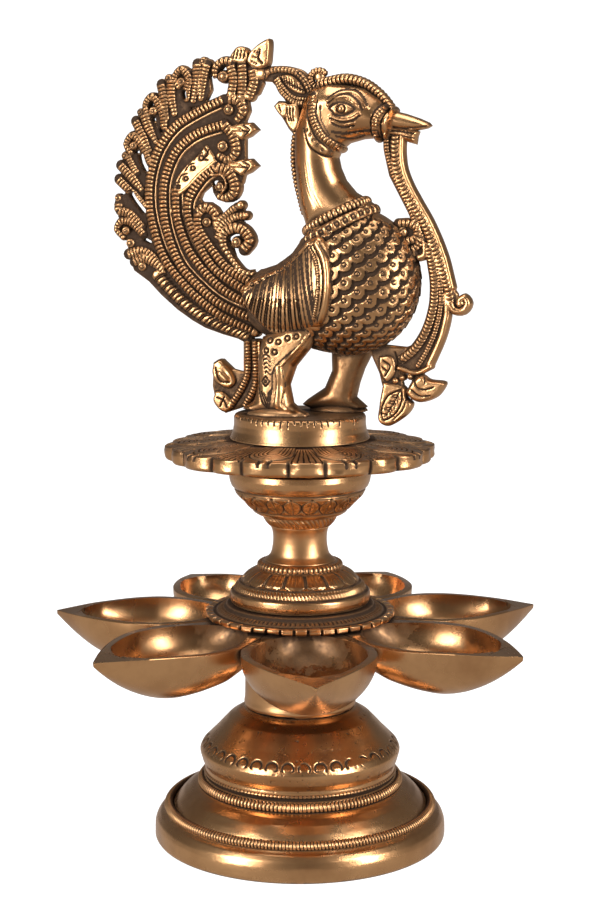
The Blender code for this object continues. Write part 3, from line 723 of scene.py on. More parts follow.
def make_bell():
    profile = [
        (5.3, 77.1), (9.4, 77.1), (9.4, 83.6), (12.0, 83.6), (17.6, 81.0), (18.8, 77.1), (21.7, 77.1),
        (22.2, 77.7), (22.5, 79.0), (22.4, 80.7), (21.9, 81.3), (21.2, 81.7), (20.9, 82.4), (20.6, 83.0),
        (19.6, 83.9), (18.9, 84.4), (18.2, 85.4), (17.0, 86.6), (15.2, 87.6), (13.2, 88.2), (12.8, 90.2),
        (9.6, 91.0), (5.3, 91.0),
    ]
    petals = 16

    def relief(theta, r, z):
        outside = z > 80.9
        hatch = np.abs(np.sin(0.5 * theta * 112 + 1.2 * (z - 82.0)))
        band = smooth_step(81.6, 81.9, z) * (1.0 - smooth_step(83.5, 83.9, z)) * (r > 19.0)
        along = (theta * petals / TAU) % 1.0 - 0.5
        arch = np.abs(along) - 0.46 * np.clip((z - 84.2) / 0.9, 0.0, 1.0) ** 0.5
        zone = (z > 84.0) * (z < 88.1) * (r > 12.5)
        outline = line_mark(arch * r * TAU / petals, 0.38) * zone
        veins = (1.0 - np.abs(np.sin(along * np.pi * 5.0)) ** 0.4) * smooth_step(84.9, 86.0, z) * zone
        tips = line_mark(z - 84.7, 0.35) * zone * np.abs(np.sin(along * np.pi * 3.0))
        groove = line_mark(z - 81.4, 0.45) * (r > 20) + line_mark(z - 84.1, 0.4) * (r > 18)
        cut = -0.30 * outline - 0.14 * veins - 0.12 * tips - 0.26 * (1.0 - hatch) * band
        dark = np.maximum.reduce([0.8 * outline, 0.35 * veins, 0.9 * groove,
                                  0.55 * (1 - hatch ** 0.5) * band])
        return cut * outside, dark * outside

    bell = lathe("pillar_bell", profile, 896, relief, corner=0.3, step=0.4)
    dress(bell, "pillar", POLISHED, "pillar")
    beads = stitched_ring("pillar_bead_ring", 12.5, 89.2, 1.25, 1.25, 52, 0.26, tilt=math.radians(-30),
                          samples=12)
    dress(beads, "pillar", CHASED)


def make_waist():
    profile = [
        (5.3, 90.6), (11.6, 90.6), (10.6, 91.4), (9.4, 92.6), (8.9, 94.4), (8.6, 96.6), (8.6, 98.8),
        (8.9, 100.6), (9.6, 102.2), (5.3, 102.2),
    ]
    waist = lathe("pillar_waist", profile, 160, None, corner=0.7, step=0.5)
    dress(waist, "pillar", SATIN)


def make_cup():
    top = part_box("pillar")[1][2] / MM
    profile = [
        (5.3, 102.0), (9.9, 102.0), (10.8, 103.0), (11.6, 104.2), (11.9, 105.2), (13.6, 105.8),
        (14.9, 106.6), (15.4, 107.4), (16.4, 108.1), (17.4, 109.4), (18.6, 110.6), (20.0, 112.0),
        (20.9, 113.4), (20.9, 114.2), (21.7, 114.9), (22.3, 116.4), (22.6, 118.0), (22.4, top), (5.3, top),
    ]
    leaves = 20

    def relief(theta, r, z):
        outside = (r > 9.5) & (z < top - 0.2)
        cord = np.abs(np.sin(0.5 * theta * 44 + 1.6 * (z - 104.0)))
        lower = smooth_step(102.2, 102.6, z) * (1.0 - smooth_step(104.9, 105.3, z))
        along = (theta * leaves / TAU) % 1.0 - 0.5
        rise = (z - 107.6) / 5.6
        zone = smooth_step(107.2, 107.8, z) * (1.0 - smooth_step(113.0, 113.6, z))
        width = 0.5 * np.clip(1.0 - np.abs(2.0 * rise - 0.9) ** 2.2, 0.0, 1.0)
        outline = line_mark((np.abs(along) - width) * r * TAU / leaves, 0.45) * zone
        rib = line_mark(along * r * TAU / leaves, 0.3) * zone
        swirl = np.abs(np.sin(7.0 * np.hypot(along * 2.2, rise - 0.5) * np.pi)) ** 0.6
        rings = line_mark(z - 105.4, 0.4) + line_mark(z - 107.3, 0.35) + line_mark(z - 114.0, 0.4)
        rings = rings + line_mark(z - 113.1, 0.25)
        bumps = 0.35 * value_noise(theta * 20.0, z * 1.2, 41, 1.0) * zone
        height = (0.35 * bumps - 0.30 * outline - 0.16 * rib - 0.16 * (1.0 - swirl) * zone
                  - 0.32 * (1.0 - cord) * lower - 0.25 * rings * (r > 11))
        dark = np.maximum.reduce([0.62 * outline, 0.45 * rib, 0.5 * rings, 0.5 * (1 - cord ** 0.6) * lower,
                                  0.25 * (1.0 - swirl) * zone])
        return height * outside, dark * outside

    cup = lathe("pillar_cup", profile, 880, relief, corner=0.3, step=0.4)
    dress(cup, "pillar", POLISHED)


# Cast relief: a thin plate in the bird's own plane, both sides alike

SIDE_WALL = 0.55
WEAR = 0.06
CELL_SIDES = ((0, -1, (0, 0), (1, 0)), (1, 0, (1, 0), (1, 1)), (0, 1, (1, 1), (0, 1)),
              (-1, 0, (0, 1), (0, 0)))


def curve_through(points, step=0.7):
    """A smooth line through the given (x, z) points."""
    points = np.asarray(points, dtype=float)
    if len(points) < 3:
        return resample(points, step, closed=False)
    padded = np.vstack([2 * points[0] - points[1], points, 2 * points[-1] - points[-2]])
    out = []
    for i in range(1, len(padded) - 2):
        p0, p1, p2, p3 = padded[i - 1:i + 3]
        pieces = max(2, int(np.linalg.norm(p2 - p1) / step))
        for t in np.arange(pieces) / pieces:
            out.append(0.5 * (2 * p1 + (p2 - p0) * t + (2 * p0 - 5 * p1 + 4 * p2 - p3) * t * t
                              + (3 * p1 - p0 - 3 * p2 + p3) * t ** 3))
    out.append(points[-1])
    return np.array(out)


def distance_to_line(x, z, line):
    """Distance to a line, how far along it the nearest point lies, and the line's length."""
    best = np.full(x.shape, 1e9)
    along = np.zeros(x.shape)
    travelled = 0.0
    for (x0, z0), (x1, z1) in zip(line[:-1], line[1:]):
        dx, dz = x1 - x0, z1 - z0
        length = math.hypot(dx, dz)
        if length < 1e-9:
            continue
        t = np.clip(((x - x0) * dx + (z - z0) * dz) / length ** 2, 0.0, 1.0)
        ex = x - x0 - t * dx
        ez = z - z0 - t * dz
        d = np.hypot(ex, ez)
        nearer = d < best
        best = np.where(nearer, d, best)
        along = np.where(nearer, travelled + t * length, along)
        travelled += length
    return best, along, travelled


def inside_depth(x, z, outline):
    """How far inside a closed outline each point lies; negative outside."""
    outline = np.asarray(outline, dtype=float)
    closed = np.vstack([outline, outline[:1]])
    depth = distance_to_line(x, z, closed)[0]
    inside = np.zeros(x.shape, dtype=bool)
    for (x0, z0), (x1, z1) in zip(closed[:-1], closed[1:]):
        if z0 == z1:
            continue
        crosses = ((z0 > z) != (z1 > z)) & (x < (x1 - x0) * (z - z0) / (z1 - z0) + x0)
        inside ^= crosses
    return np.where(inside, depth, -depth)


class Relief:
    """Height, patina (with painted shade where a plate is darkened for it) and outline of a plate, built up
    from ropes, balls, lumps, cuts and holes.
    """

    def __init__(self, x_range, z_range, step, web=1.7, ground=0.95):
        xs = np.arange(x_range[0], x_range[1] + step, step)
        zs = np.arange(z_range[0], z_range[1] + step, step)
        self.x, self.z = np.meshgrid(xs, zs, indexing="ij")
        self.step = step
        self.thickness = web
        self.ground = ground
        self.edge = np.full(self.x.shape, -50.0)
        self.height = np.zeros(self.x.shape)
        self.dark = np.full(self.x.shape, ground)

    def window(self, points, margin):
        """The part of the grid that a feature can touch."""
        points = np.asarray(points, dtype=float).reshape(-1, 2)
        low = points.min(axis=0) - margin
        high = points.max(axis=0) + margin
        origin = self.x[0, 0], self.z[0, 0]
        i0 = max(0, int((low[0] - origin[0]) / self.step))
        i1 = min(self.x.shape[0], int((high[0] - origin[0]) / self.step) + 2)
        j0 = max(0, int((low[1] - origin[1]) / self.step))
        j1 = min(self.x.shape[1], int((high[1] - origin[1]) / self.step) + 2)
        return slice(i0, i1), slice(j0, j1)

    def put(self, where, height, dark, edge):
        """Adds a raised feature: its height counts where it stands above what is there."""
        higher = height > self.height[where]
        self.height[where] = np.where(higher, height, self.height[where])
        self.dark[where] = np.where(higher, dark, self.dark[where])
        self.edge[where] = np.maximum(self.edge[where], edge)

    def web(self, outline, dark=None, rounded=False):
        """Plain plate inside an outline."""
        dark = self.ground if dark is None else dark
        outline = curve_through(outline + outline[:1]) if rounded else outline
        where = self.window(outline, 2.0)
        depth = inside_depth(self.x[where], self.z[where], outline)
        self.edge[where] = np.maximum(self.edge[where], depth)
        self.dark[where] = np.where(depth > 0, dark, self.dark[where])

    def rope(self, points, width, height=1.25, pitch=1.3, depth=0.5, end_width=None, bow=0.0,
             start_width=None,
             dark=0.0):
        """A rib along a line, notched across like cord; width is its half width in the middle."""
        end_width = width if end_width is None else end_width
        start_width = width if start_width is None else start_width
        line = curve_through(points)
        where = self.window(line, width + 2.0)
        d, s, total = distance_to_line(self.x[where], self.z[where], line)
        t = s / total
        local = np.where(t < 0.5, start_width + (width - start_width) * smooth_step(0.0, 0.5, t),
                         width + (end_width - width) * smooth_step(0.5, 1.0, t))
        across = d / local
        round_ = np.sqrt(np.clip(1.0 - across ** 2, 0.0, 1.0))
        if pitch > 0.0:
            phase = s / pitch + bow * across ** 2
            notch = np.abs(np.sin(np.pi * phase))
            bead = notch ** 0.75
        else:
            notch = np.ones_like(d)
            bead = notch
        body = height * round_ ** 0.7 * (1.0 - depth * (1.0 - bead)) * np.clip(local / width, 0.55, 1.0)
        body = np.where(across < 1.0, body, 0.0)
        tarnish = np.maximum(1.0 - smooth_step(0.15, 0.62, notch), smooth_step(0.82, 0.98, across))
        self.put(where, body, np.maximum(tarnish, dark), local + 0.25 - d)

    def ball(self, x, z, radius, height=1.5, stretch=(0.0, 0.0), dark=0.0):
        """A boss, drawn out along stretch if that is given."""
        line = np.array([(x - stretch[0], z - stretch[1]), (x + stretch[0], z + stretch[1])])
        if abs(stretch[0]) + abs(stretch[1]) < 1e-6:
            line = np.array([(x - 0.01, z), (x + 0.01, z)])
        where = self.window(line, radius + 1.5)
        d = distance_to_line(self.x[where], self.z[where], line)[0]
        round_ = np.sqrt(np.clip(1.0 - (d / radius) ** 2, 0.0, 1.0))
        self.put(where, height * round_, np.maximum(smooth_step(0.82, 1.0, d / radius), dark),
                 radius + 0.2 - d)

    def lump(self, outline, height=1.2, shoulder=0.9, dark=0.0, rounded=True):
        """A raised field with rounded shoulders."""
        if rounded:
            outline = curve_through(list(outline) + [outline[0]])
        where = self.window(outline, 2.0)
        depth = inside_depth(self.x[where], self.z[where], outline)
        rise = np.clip(depth / shoulder, 0.0, 1.0)
        body = height * np.sqrt(np.clip(1.0 - (1.0 - rise) ** 2, 0.0, 1.0))
        body = np.where(depth > 0, body, 0.0)
        self.put(where, body, np.maximum(0.8 * (1.0 - smooth_step(0.0, 0.3, depth)), dark), depth)

    def cut(self, points, width, depth=0.4, smooth=True, dark=0.95, taper=0.0):
        """An engraved stroke; taper narrows it towards its far end."""
        line = curve_through(points) if smooth else np.asarray(points, dtype=float)
        where = self.window(line, width + 1.0)
        d, s, total = distance_to_line(self.x[where], self.z[where], line)
        local = width * (1.0 - taper * s / max(total, 1e-6))
        mark = np.clip(1.0 - smooth_step(0.4, 1.0, d / local), 0.0, 1.0)
        self.height[where] -= depth * mark
        self.dark[where] = np.maximum(self.dark[where], dark * mark)

    def dot(self, x, z, radius=0.55, width=0.3, depth=0.35):
        """A punched ring."""
        ring = [(x + radius * math.cos(a), z + radius * math.sin(a)) for a in np.linspace(0, TAU, 13)]
        self.cut(ring, width, depth, smooth=False)

    def hole(self, points, width):
        """A slot through the plate along a line; width is its half width."""
        line = curve_through(points)
        where = self.window(line, width + 2.0)
        d = distance_to_line(self.x[where], self.z[where], line)[0]
        self.edge[where] = np.minimum(self.edge[where], d - width)

    def gap(self, outline):
        """An opening through the plate with the given outline."""
        where = self.window(outline, 2.0)
        self.edge[where] = np.minimum(self.edge[where],
                                      -inside_depth(self.x[where], self.z[where], outline))

    def build(self, name, seed, rounding=0.8):
        """Closes the plate into a mesh, front and back alike."""
        depth = np.clip(self.edge, 0.0, None)
        rim = np.clip(depth / rounding, 0.0, 1.0)
        plate = self.thickness * (SIDE_WALL + (1.0 - SIDE_WALL) * np.sqrt(1.0 - (1.0 - rim) ** 2))
        relief = self.height * smooth_step(0.0, 0.55, depth)
        half = plate + relief + WEAR * value_noise(self.x, self.z, seed, 1.6)
        dark = self.dark * smooth_step(0.05, 0.5, rim)
        return self.closed(name, -half, half, dark, dark)

    def snapped(self):
        """The grid, with the points just outside the outline pulled in to it."""
        edge, x, z = self.edge, self.x, self.z
        gx, gz = np.gradient(edge, self.step)
        slope = np.maximum(gx ** 2 + gz ** 2, 0.25)
        reach = 1.3 * self.step
        x = np.where(edge > 0.0, x, x + np.clip(-edge * gx / slope, -reach, reach))
        z = np.where(edge > 0.0, z, z + np.clip(-edge * gz / slope, -reach, reach))
        return x, z

    def closed(self, name, front_y, back_y, front_dark, back_dark):
        """A mesh of the front and back surfaces, joined by walls along the outline."""
        x, z = self.snapped()
        solid = self.edge > 0.0
        cell = solid[:-1, :-1] | solid[1:, :-1] | solid[:-1, 1:] | solid[1:, 1:]
        count = x.size
        number = np.arange(count).reshape(x.shape)
        front = np.stack([x, front_y, z], axis=-1).reshape(-1, 3)
        back = np.stack([x, back_y, z], axis=-1).reshape(-1, 3)
        i, j = np.nonzero(cell)
        a, b, c, d = number[i, j], number[i + 1, j], number[i + 1, j + 1], number[i, j + 1]
        faces = [np.stack([a, b, c, d], axis=1), np.stack([a, d, c, b], axis=1) + count]
        padded = np.pad(cell, 1)
        for di, dj, p, q in CELL_SIDES:
            open_side = ~padded[i + 1 + di, j + 1 + dj]
            m, n = i[open_side], j[open_side]
            start = number[m + p[0], n + p[1]]
            end = number[m + q[0], n + q[1]]
            faces.append(np.stack([end, start, start + count, end + count], axis=1))
        faces = np.concatenate(faces)
        points = np.concatenate([front, back])
        dark = np.concatenate([front_dark.reshape(-1), back_dark.reshape(-1)])
        used = np.unique(faces)
        renumber = np.zeros(len(points), dtype=np.int64)
        renumber[used] = np.arange(len(used))
        return mesh_piece(name, points[used], renumber[faces], dark[used])


# Tail fan

RIB_WIDTH = 1.45


def tail_relief():
    tail = Relief((-63.0, -6.5), (157.0, 255.0), 0.27, web=1.75)
    tail.web([
        (-24, 236), (-32, 233.5), (-40, 229.5), (-47, 222), (-50.5, 213), (-51, 205), (-50, 197),
        (-53.5, 190), (-56.5, 186.5), (-55.3, 182.1), (-50.2, 178.6), (-45.8, 174.2), (-40.6, 169.8),
        (-35.5, 166.4), (-31.1, 164.1), (-25.3, 162.2), (-20.2, 160.9), (-15.2, 158.4), (-14.8, 183),
        (-18.5, 182.4), (-20.5, 185.6), (-21.6, 189), (-25, 196), (-25.6, 203.4), (-28.6, 210.5),
        (-21, 211), (-18.3, 209.5), (-17.2, 213.5), (-17.2, 229), (-15.8, 232), (-16.4, 235.2),
        (-12.9, 237), (-11.3, 240.3), (-12.4, 244.4), (-20, 246.8), (-22.6, 238),
    ])
    tail.web([(-60, 205), (-60.5, 199), (-56, 198.5), (-50, 195), (-50, 203), (-55, 209)])
    tail.web([(-59.4, 213), (-59.4, 210), (-52, 203.5), (-50, 210), (-50, 219.5), (-56.8, 219)])
    tail.web([(-55, 225), (-51.5, 216.5), (-48, 215), (-44, 224), (-49.8, 231.8), (-53.5, 230)])
    tail.web([(-48, 234), (-46.5, 226), (-41, 227), (-35, 232), (-38.5, 241.5), (-43, 242), (-46, 239)])
    tail.web([(-39.5, 240.5), (-37.5, 233), (-31, 233.5), (-28.4, 238.6), (-29.6, 246.5), (-33, 247.2),
              (-37, 243.5)])
    tail.web([(-58, 193.5), (-56, 188), (-50, 186), (-47, 190), (-51, 197)])

    long_ribs = [
        [(-24.3, 235.6), (-32, 232.3), (-40, 227.7), (-45.6, 221), (-48.6, 213.1), (-49.4, 205.3),
         (-48.4, 197.4), (-44.5, 186.4), (-36.1, 176.2), (-25.2, 168.1), (-14.2, 163.2)],
        [(-24.1, 228), (-33.2, 225.1), (-39.8, 220.1), (-43.5, 212.8), (-44.6, 205.6), (-43.7, 196),
         (-39.4, 184.7), (-32.8, 177.4), (-25.2, 171.7), (-14.2, 167.2)],
        [(-40.2, 208.4), (-40.3, 204.3), (-39.8, 198.2), (-36.2, 189), (-30.4, 181.6), (-23.8, 176),
         (-14.2, 171)],
        [(-26.7, 214.8), (-31.5, 211.4), (-35.8, 205.3), (-36.4, 200.5), (-34.6, 194.6), (-31, 187.6),
         (-26, 181.8), (-14.2, 174.5)],
        [(-33, 200.5), (-32.6, 195.4), (-27.7, 188.3), (-22.7, 182.9), (-14.2, 178.2)],
    ]
    for rib in long_ribs:
        tail.rope(rib, RIB_WIDTH, 1.65, 1.32, 0.62, bow=-0.15)
    for rib in long_ribs[:4]:
        line = curve_through(rib)
        inward = [(x + 2.25 * nx, z + 2.25 * nz) for (x, z), (nx, nz) in zip(line, left_of(line))]
        tail.rope(inward[2:-4:3], 0.42, 0.45, 0.0, dark=0.25)

    curls = [
        ([(-24.1, 228), (-21.3, 224.5), (-20.2, 219.8), (-22.8, 217), (-25.6, 218.2)], 1.7,
         (-24.6, 221.2, 1.9)),
        ([(-26.7, 214.8), (-22.8, 213.4), (-20.7, 209.4), (-21.4, 206.4), (-24.3, 205.1), (-26.6, 206)],
         1.8,
         (-25.6, 208.6, 1.6)),
        ([(-33, 200.5), (-30.1, 202.4), (-27.2, 200.2), (-27.0, 197)], 1.7, (-30, 197.6, 1.6)),
        ([(-17.9, 189.1), (-15.9, 191.8), (-17.5, 194.8), (-20.7, 196), (-24.3, 194.1), (-24.7, 190.7),
          (-23.7, 188.7)], 1.75, (-20.2, 191.4, 1.8)),
        ([(-22.6, 235.8), (-19.2, 235), (-17.9, 232), (-20.2, 228.8)], 1.7, (-22.6, 232.4, 1.8)),
        ([(-21.2, 247.1), (-24.4, 247.3), (-26.9, 245.2), (-26.9, 241.9)], 1.25, (-24.3, 242.6, 1.9)),
    ]
    for line, width, (x, z, radius) in curls:
        tail.rope(line, width, 1.75, 1.35, 0.45, end_width=0.7 * width)
        tail.ball(x, z, radius, 1.6)
        tail.dot(x, z, 0.5 * radius, 0.25, 0.2)
    tail.rope([(-28.2, 212.3), (-24.6, 212.1), (-23.5, 209), (-25, 206.7)], 0.5, 1.2, 0.0)
    tail.rope([(-23.7, 188.7), (-21.9, 186), (-18.6, 182.4), (-15, 181.4)], 1.0, 0.9, 1.4, 0.4,
              end_width=0.6)
    tail.rope([(-26.7, 192.4), (-24.3, 196.9), (-20.7, 199.2), (-17.2, 199.7)], 1.3, 1.4, 1.0, 0.5)
    tail.rope([(-26.9, 195.1), (-24.7, 199.3), (-20.3, 202.3)], 1.2, 1.3, 1.0, 0.45)
    tail.ball(-18.9, 202.9, 1.4, 1.4)
    tail.ball(-17.0, 199.8, 1.0, 1.3)

    for band in ([(-21.9, 246), (-21, 241.8), (-21.6, 237.4)],
                 [(-18.1, 246.2), (-17.9, 241.1), (-18.3, 236.2)],
                 [(-14.6, 244.6), (-14.3, 240.7), (-15.8, 236.6)]):
        tail.rope(band, 1.6, 1.5, 1.15, 0.45)
    tail.lump([(-15.8, 250), (-12.6, 252.6), (-9.1, 253.8), (-8.9, 249.4), (-9.7, 245.6), (-12.9, 244.5),
               (-16.6, 246.7)], 1.3, 1.2)
    for k in range(9):
        tail.dot(-14.6 + 0.75 * (k % 3) + 0.5 * (k // 3), 246.9 + 1.6 * (k // 3) - 0.3 * (k % 3), 0.12,
                 0.26, 0.25)
    tail.cut([(-12.0, 250.4), (-12.6, 247.9), (-11.2, 246.4)], 0.4)
    tail.lump([(-22.2, 249.1), (-19.7, 251.7), (-16.2, 250.8), (-16.6, 246.6), (-20.8, 246.8)], 1.2, 1.0)
    for k in range(4):
        tail.cut([(-20.8 + 1.15 * k, 248.0), (-20.2 + 1.1 * k, 250.5)], 0.28, 0.35)
    for dz in (0.0, -11.1):
        tail.lump([(-23.4, 227.2 + dz), (-19, 228.2 + dz), (-15.2, 228.5 + dz), (-12.9, 226.2 + dz),
                   (-15.6, 224.1 + dz), (-18.4, 223 + dz), (-22, 225.2 + dz)], 1.2, 1.2, rounded=False)
        tail.cut([(-21.5, 226.6 + dz), (-16.2, 225.6 + dz)], 0.35, 0.4)
        tail.cut([(-17.6, 227.6 + dz), (-15.6, 226.1 + dz), (-17.4, 224.2 + dz)], 0.3, 0.35)
        tail.lump([(-22.4, 227.2 + dz), (-18.6, 226.9 + dz), (-18.2, 225.5 + dz), (-21.8, 225.8 + dz)],
                  1.7, 0.6)

    edge_plumes(tail)
    leaf = [(-29.9, 221.9), (-33.2, 218.3), (-38, 214), (-41, 208.8), (-38.4, 206.6), (-32.5, 211.6),
            (-27, 216.8)]
    tail.lump(leaf, 0.75, 0.6, dark=0.1)
    tail.rope([(-39.0, 206.6), (-36, 208.8), (-32.2, 212.6), (-27, 216.6)], 0.55, 1.15, 0.0)
    for k, (x, z) in enumerate([(-31.6, 217.6), (-34.4, 214.4), (-36.8, 211.2), (-39.3, 208.6)]):
        tail.dot(x, z, 0.75 - 0.06 * k, 0.32)
        tail.cut([(x + 0.4, z + 1.5), (x - 1.4, z + 1.0), (x - 2.4, z - 0.6)], 0.25, 0.3)
    tail.cut([(-30.4, 220.6), (-29.3, 218.8), (-31, 217.4), (-29.4, 216.9)], 0.3)
    tail.cut([(-29, 220.4), (-30.2, 218.2)], 0.25)

    tail.hole([(-27.4, 241.3), (-26.6, 239.9), (-27.5, 238.6)], 1.0)
    tail.hole([(-37.5, 238.2), (-37.3, 236.4)], 0.5)
    tail.hole([(-45.4, 226.6), (-45.2, 226.0)], 0.3)
    tail.hole([(-52.2, 218.4), (-51.7, 216.3), (-50.6, 214.2)], 0.8)
    tail.hole([(-55.6, 206.4), (-54.2, 204.2), (-51.6, 201.0)], 0.75)
    tail.hole([(-51.2, 192.0), (-49.6, 191.2)], 0.5)
    tail.gap([(-28.6, 209.2), (-31.6, 206.7), (-32.5, 204.7), (-31.8, 204.0), (-29.0, 203.9),
              (-26.6, 202.4), (-25.2, 200.2), (-23, 202.2), (-21.3, 203.9), (-24, 203.7), (-26.8, 204.6),
              (-28.3, 207)])
    return tail


def left_of(line):
    """Unit directions to the left of a line at each of its points."""
    run = np.gradient(line, axis=0)
    run /= np.maximum(np.linalg.norm(run, axis=1), 1e-9)[:, None]
    return np.stack([-run[:, 1], run[:, 0]], axis=1)


def edge_plumes(tail):
    """The outer edge: pairs of short corded ribs, with a small curl between one pair and the next."""
    ribs = [
        [(-33, 246.6), (-33, 241), (-34.3, 235.4)], [(-29.6, 246.4), (-31, 242), (-31.8, 236)],
        [(-45, 240.5), (-44, 235.5), (-43.3, 230)], [(-41.5, 241.8), (-41.6, 236.8), (-40.6, 231.4)],
        [(-53.8, 229.2), (-51.4, 224.7), (-48.9, 219.4)], [(-50.8, 231.3), (-49.2, 227.1), (-47, 222.9)],
        [(-59.1, 215.4), (-55.7, 212.1), (-51.6, 207.4)], [(-59.8, 211), (-56.8, 208.2), (-52.8, 204.6)],
        [(-59.8, 203.4), (-59.6, 201.2), (-56.2, 200.1), (-51.4, 196)],
        [(-56.9, 187.3), (-52.3, 188.4), (-48.2, 186.5), (-45.2, 183.2)],
        [(-54.9, 184.9), (-51.2, 186), (-47.5, 184.2), (-44.9, 181.6)],
    ]
    for rib in ribs:
        tail.rope(rib, 1.5, 1.45, 1.1, 0.5, end_width=1.0, start_width=1.6)
    for rib in ([(-56.5, 218.4), (-54.7, 214.9), (-53.4, 213.0)], [(-35.3, 242), (-36.5, 236)],
                [(-54.6, 206.8), (-51.0, 203)]):
        tail.rope(rib, 1.1, 1.2, 0.9, 0.45)
    curls = [
        ([(-36.4, 238.4), (-35.6, 242.3), (-38.1, 244.9), (-40.5, 242.5), (-39.2, 239.8)], (-38.2, 241.2)),
        ([(-43.9, 226.4), (-44.7, 232), (-47.8, 236.7), (-50.4, 234.2), (-49.2, 230.8)], (-47.6, 232.3)),
        ([(-48.8, 216), (-51.8, 222), (-54.7, 224.8), (-57.0, 222), (-55.4, 219.2)], (-54.4, 221.6)),
        ([(-51.4, 193.6), (-55.5, 197.3), (-59, 197.7), (-60.6, 195.2), (-58.7, 192.8)], (-57.4, 194.8)),
    ]
    for line, (x, z) in curls:
        tail.rope(line, 1.3, 1.5, 1.0, 0.45, end_width=1.0)
        tail.ball(x, z, 1.5, 1.5)
        tail.dot(x, z, 0.5, 0.25, 0.2)
    for x, z, radius in ((-56.0, 190.8, 1.55), (-52.0, 183.4, 1.5), (-57.5, 218.4, 1.3),
                         (-42.6, 242.4, 1.2), (-60.1, 205.2, 1.2), (-31.0, 247.4, 1.3),
                         (-52.2, 232.0, 1.1)):
        tail.ball(x, z, radius, 1.25)
        tail.dot(x, z, 0.45 * radius, 0.25, 0.2)
    outer = curve_through([(-47.8, 178.9), (-40.2, 171.6), (-31.0, 165.6), (-18.4, 161.2)])
    tail.rope([(-47.0, 180.6), (-39.2, 173.2), (-30.2, 167.2), (-17.6, 162.4)], 1.75, 0.9, 0.0, dark=0.15)
    strokes = 30
    for k in range(strokes):
        x, z = outer[int(k * (len(outer) - 1) / (strokes - 1))]
        reach = 3.6 - 1.0 * k / strokes
        tail.cut([(x + reach, z + 0.55 * reach + 0.4), (x + 0.55 * reach, z + 0.38 * reach + 0.5),
                  (x - 0.2, z)], 0.36, 0.5, taper=0.5)


def stem_relief():
    stem = Relief((-31.0, -10.0), (135.0, 161.0), 0.25, web=1.8, ground=0.6)
    stem.web([(-18.4, 160.5), (-11.8, 160.5), (-12.0, 148), (-12.2, 139.4), (-17.5, 139.4), (-24.5, 137),
              (-27.5, 139.5), (-28.8, 145.5), (-28.5, 153.0), (-25.4, 154.4), (-21.8, 151.2),
              (-18.4, 150.4)])
    stem.rope([(-16.8, 160.5), (-16.6, 151), (-18.6, 145.4), (-22.4, 139.6)], 1.15, 1.3, 1.05, 0.5)
    stem.rope([(-14.2, 160.5), (-13.9, 150), (-14.6, 145.2), (-17.4, 140)], 1.15, 1.3, 1.05, 0.5)
    stem.rope([(-12.7, 160), (-12.4, 150), (-12.8, 140)], 0.6, 0.9, 0.0, dark=0.2)
    bud = [(-28.4, 153.2), (-25.7, 154.3), (-22, 150.6), (-20.6, 147.2), (-23, 145.2), (-26.6, 146.6),
           (-28.8, 149.6)]
    stem.lump(bud, 1.2, 1.0)
    stem.ball(-24.6, 148.9, 1.5, 2.0, stretch=(-0.9, 0.9))
    stem.cut([(-27.2, 151.6), (-25.8, 147.6), (-22.6, 147.2)], 0.3)
    for k in range(4):
        stem.dot(-27.3 + 1.3 * k, 145.6 - 0.6 * k, 0.4, 0.25, 0.25)
    lower = [(-27.6, 144.2), (-24.6, 143.8), (-21.4, 140.4), (-23.4, 137.4), (-26.4, 138), (-28.6, 141)]
    stem.lump(lower, 1.1, 1.0)
    stem.cut([(-26.8, 142.2), (-24.4, 141.2), (-23.4, 139)], 0.3)
    stem.cut([(-25.8, 139.2), (-24.2, 142.6)], 0.25)
    return stem


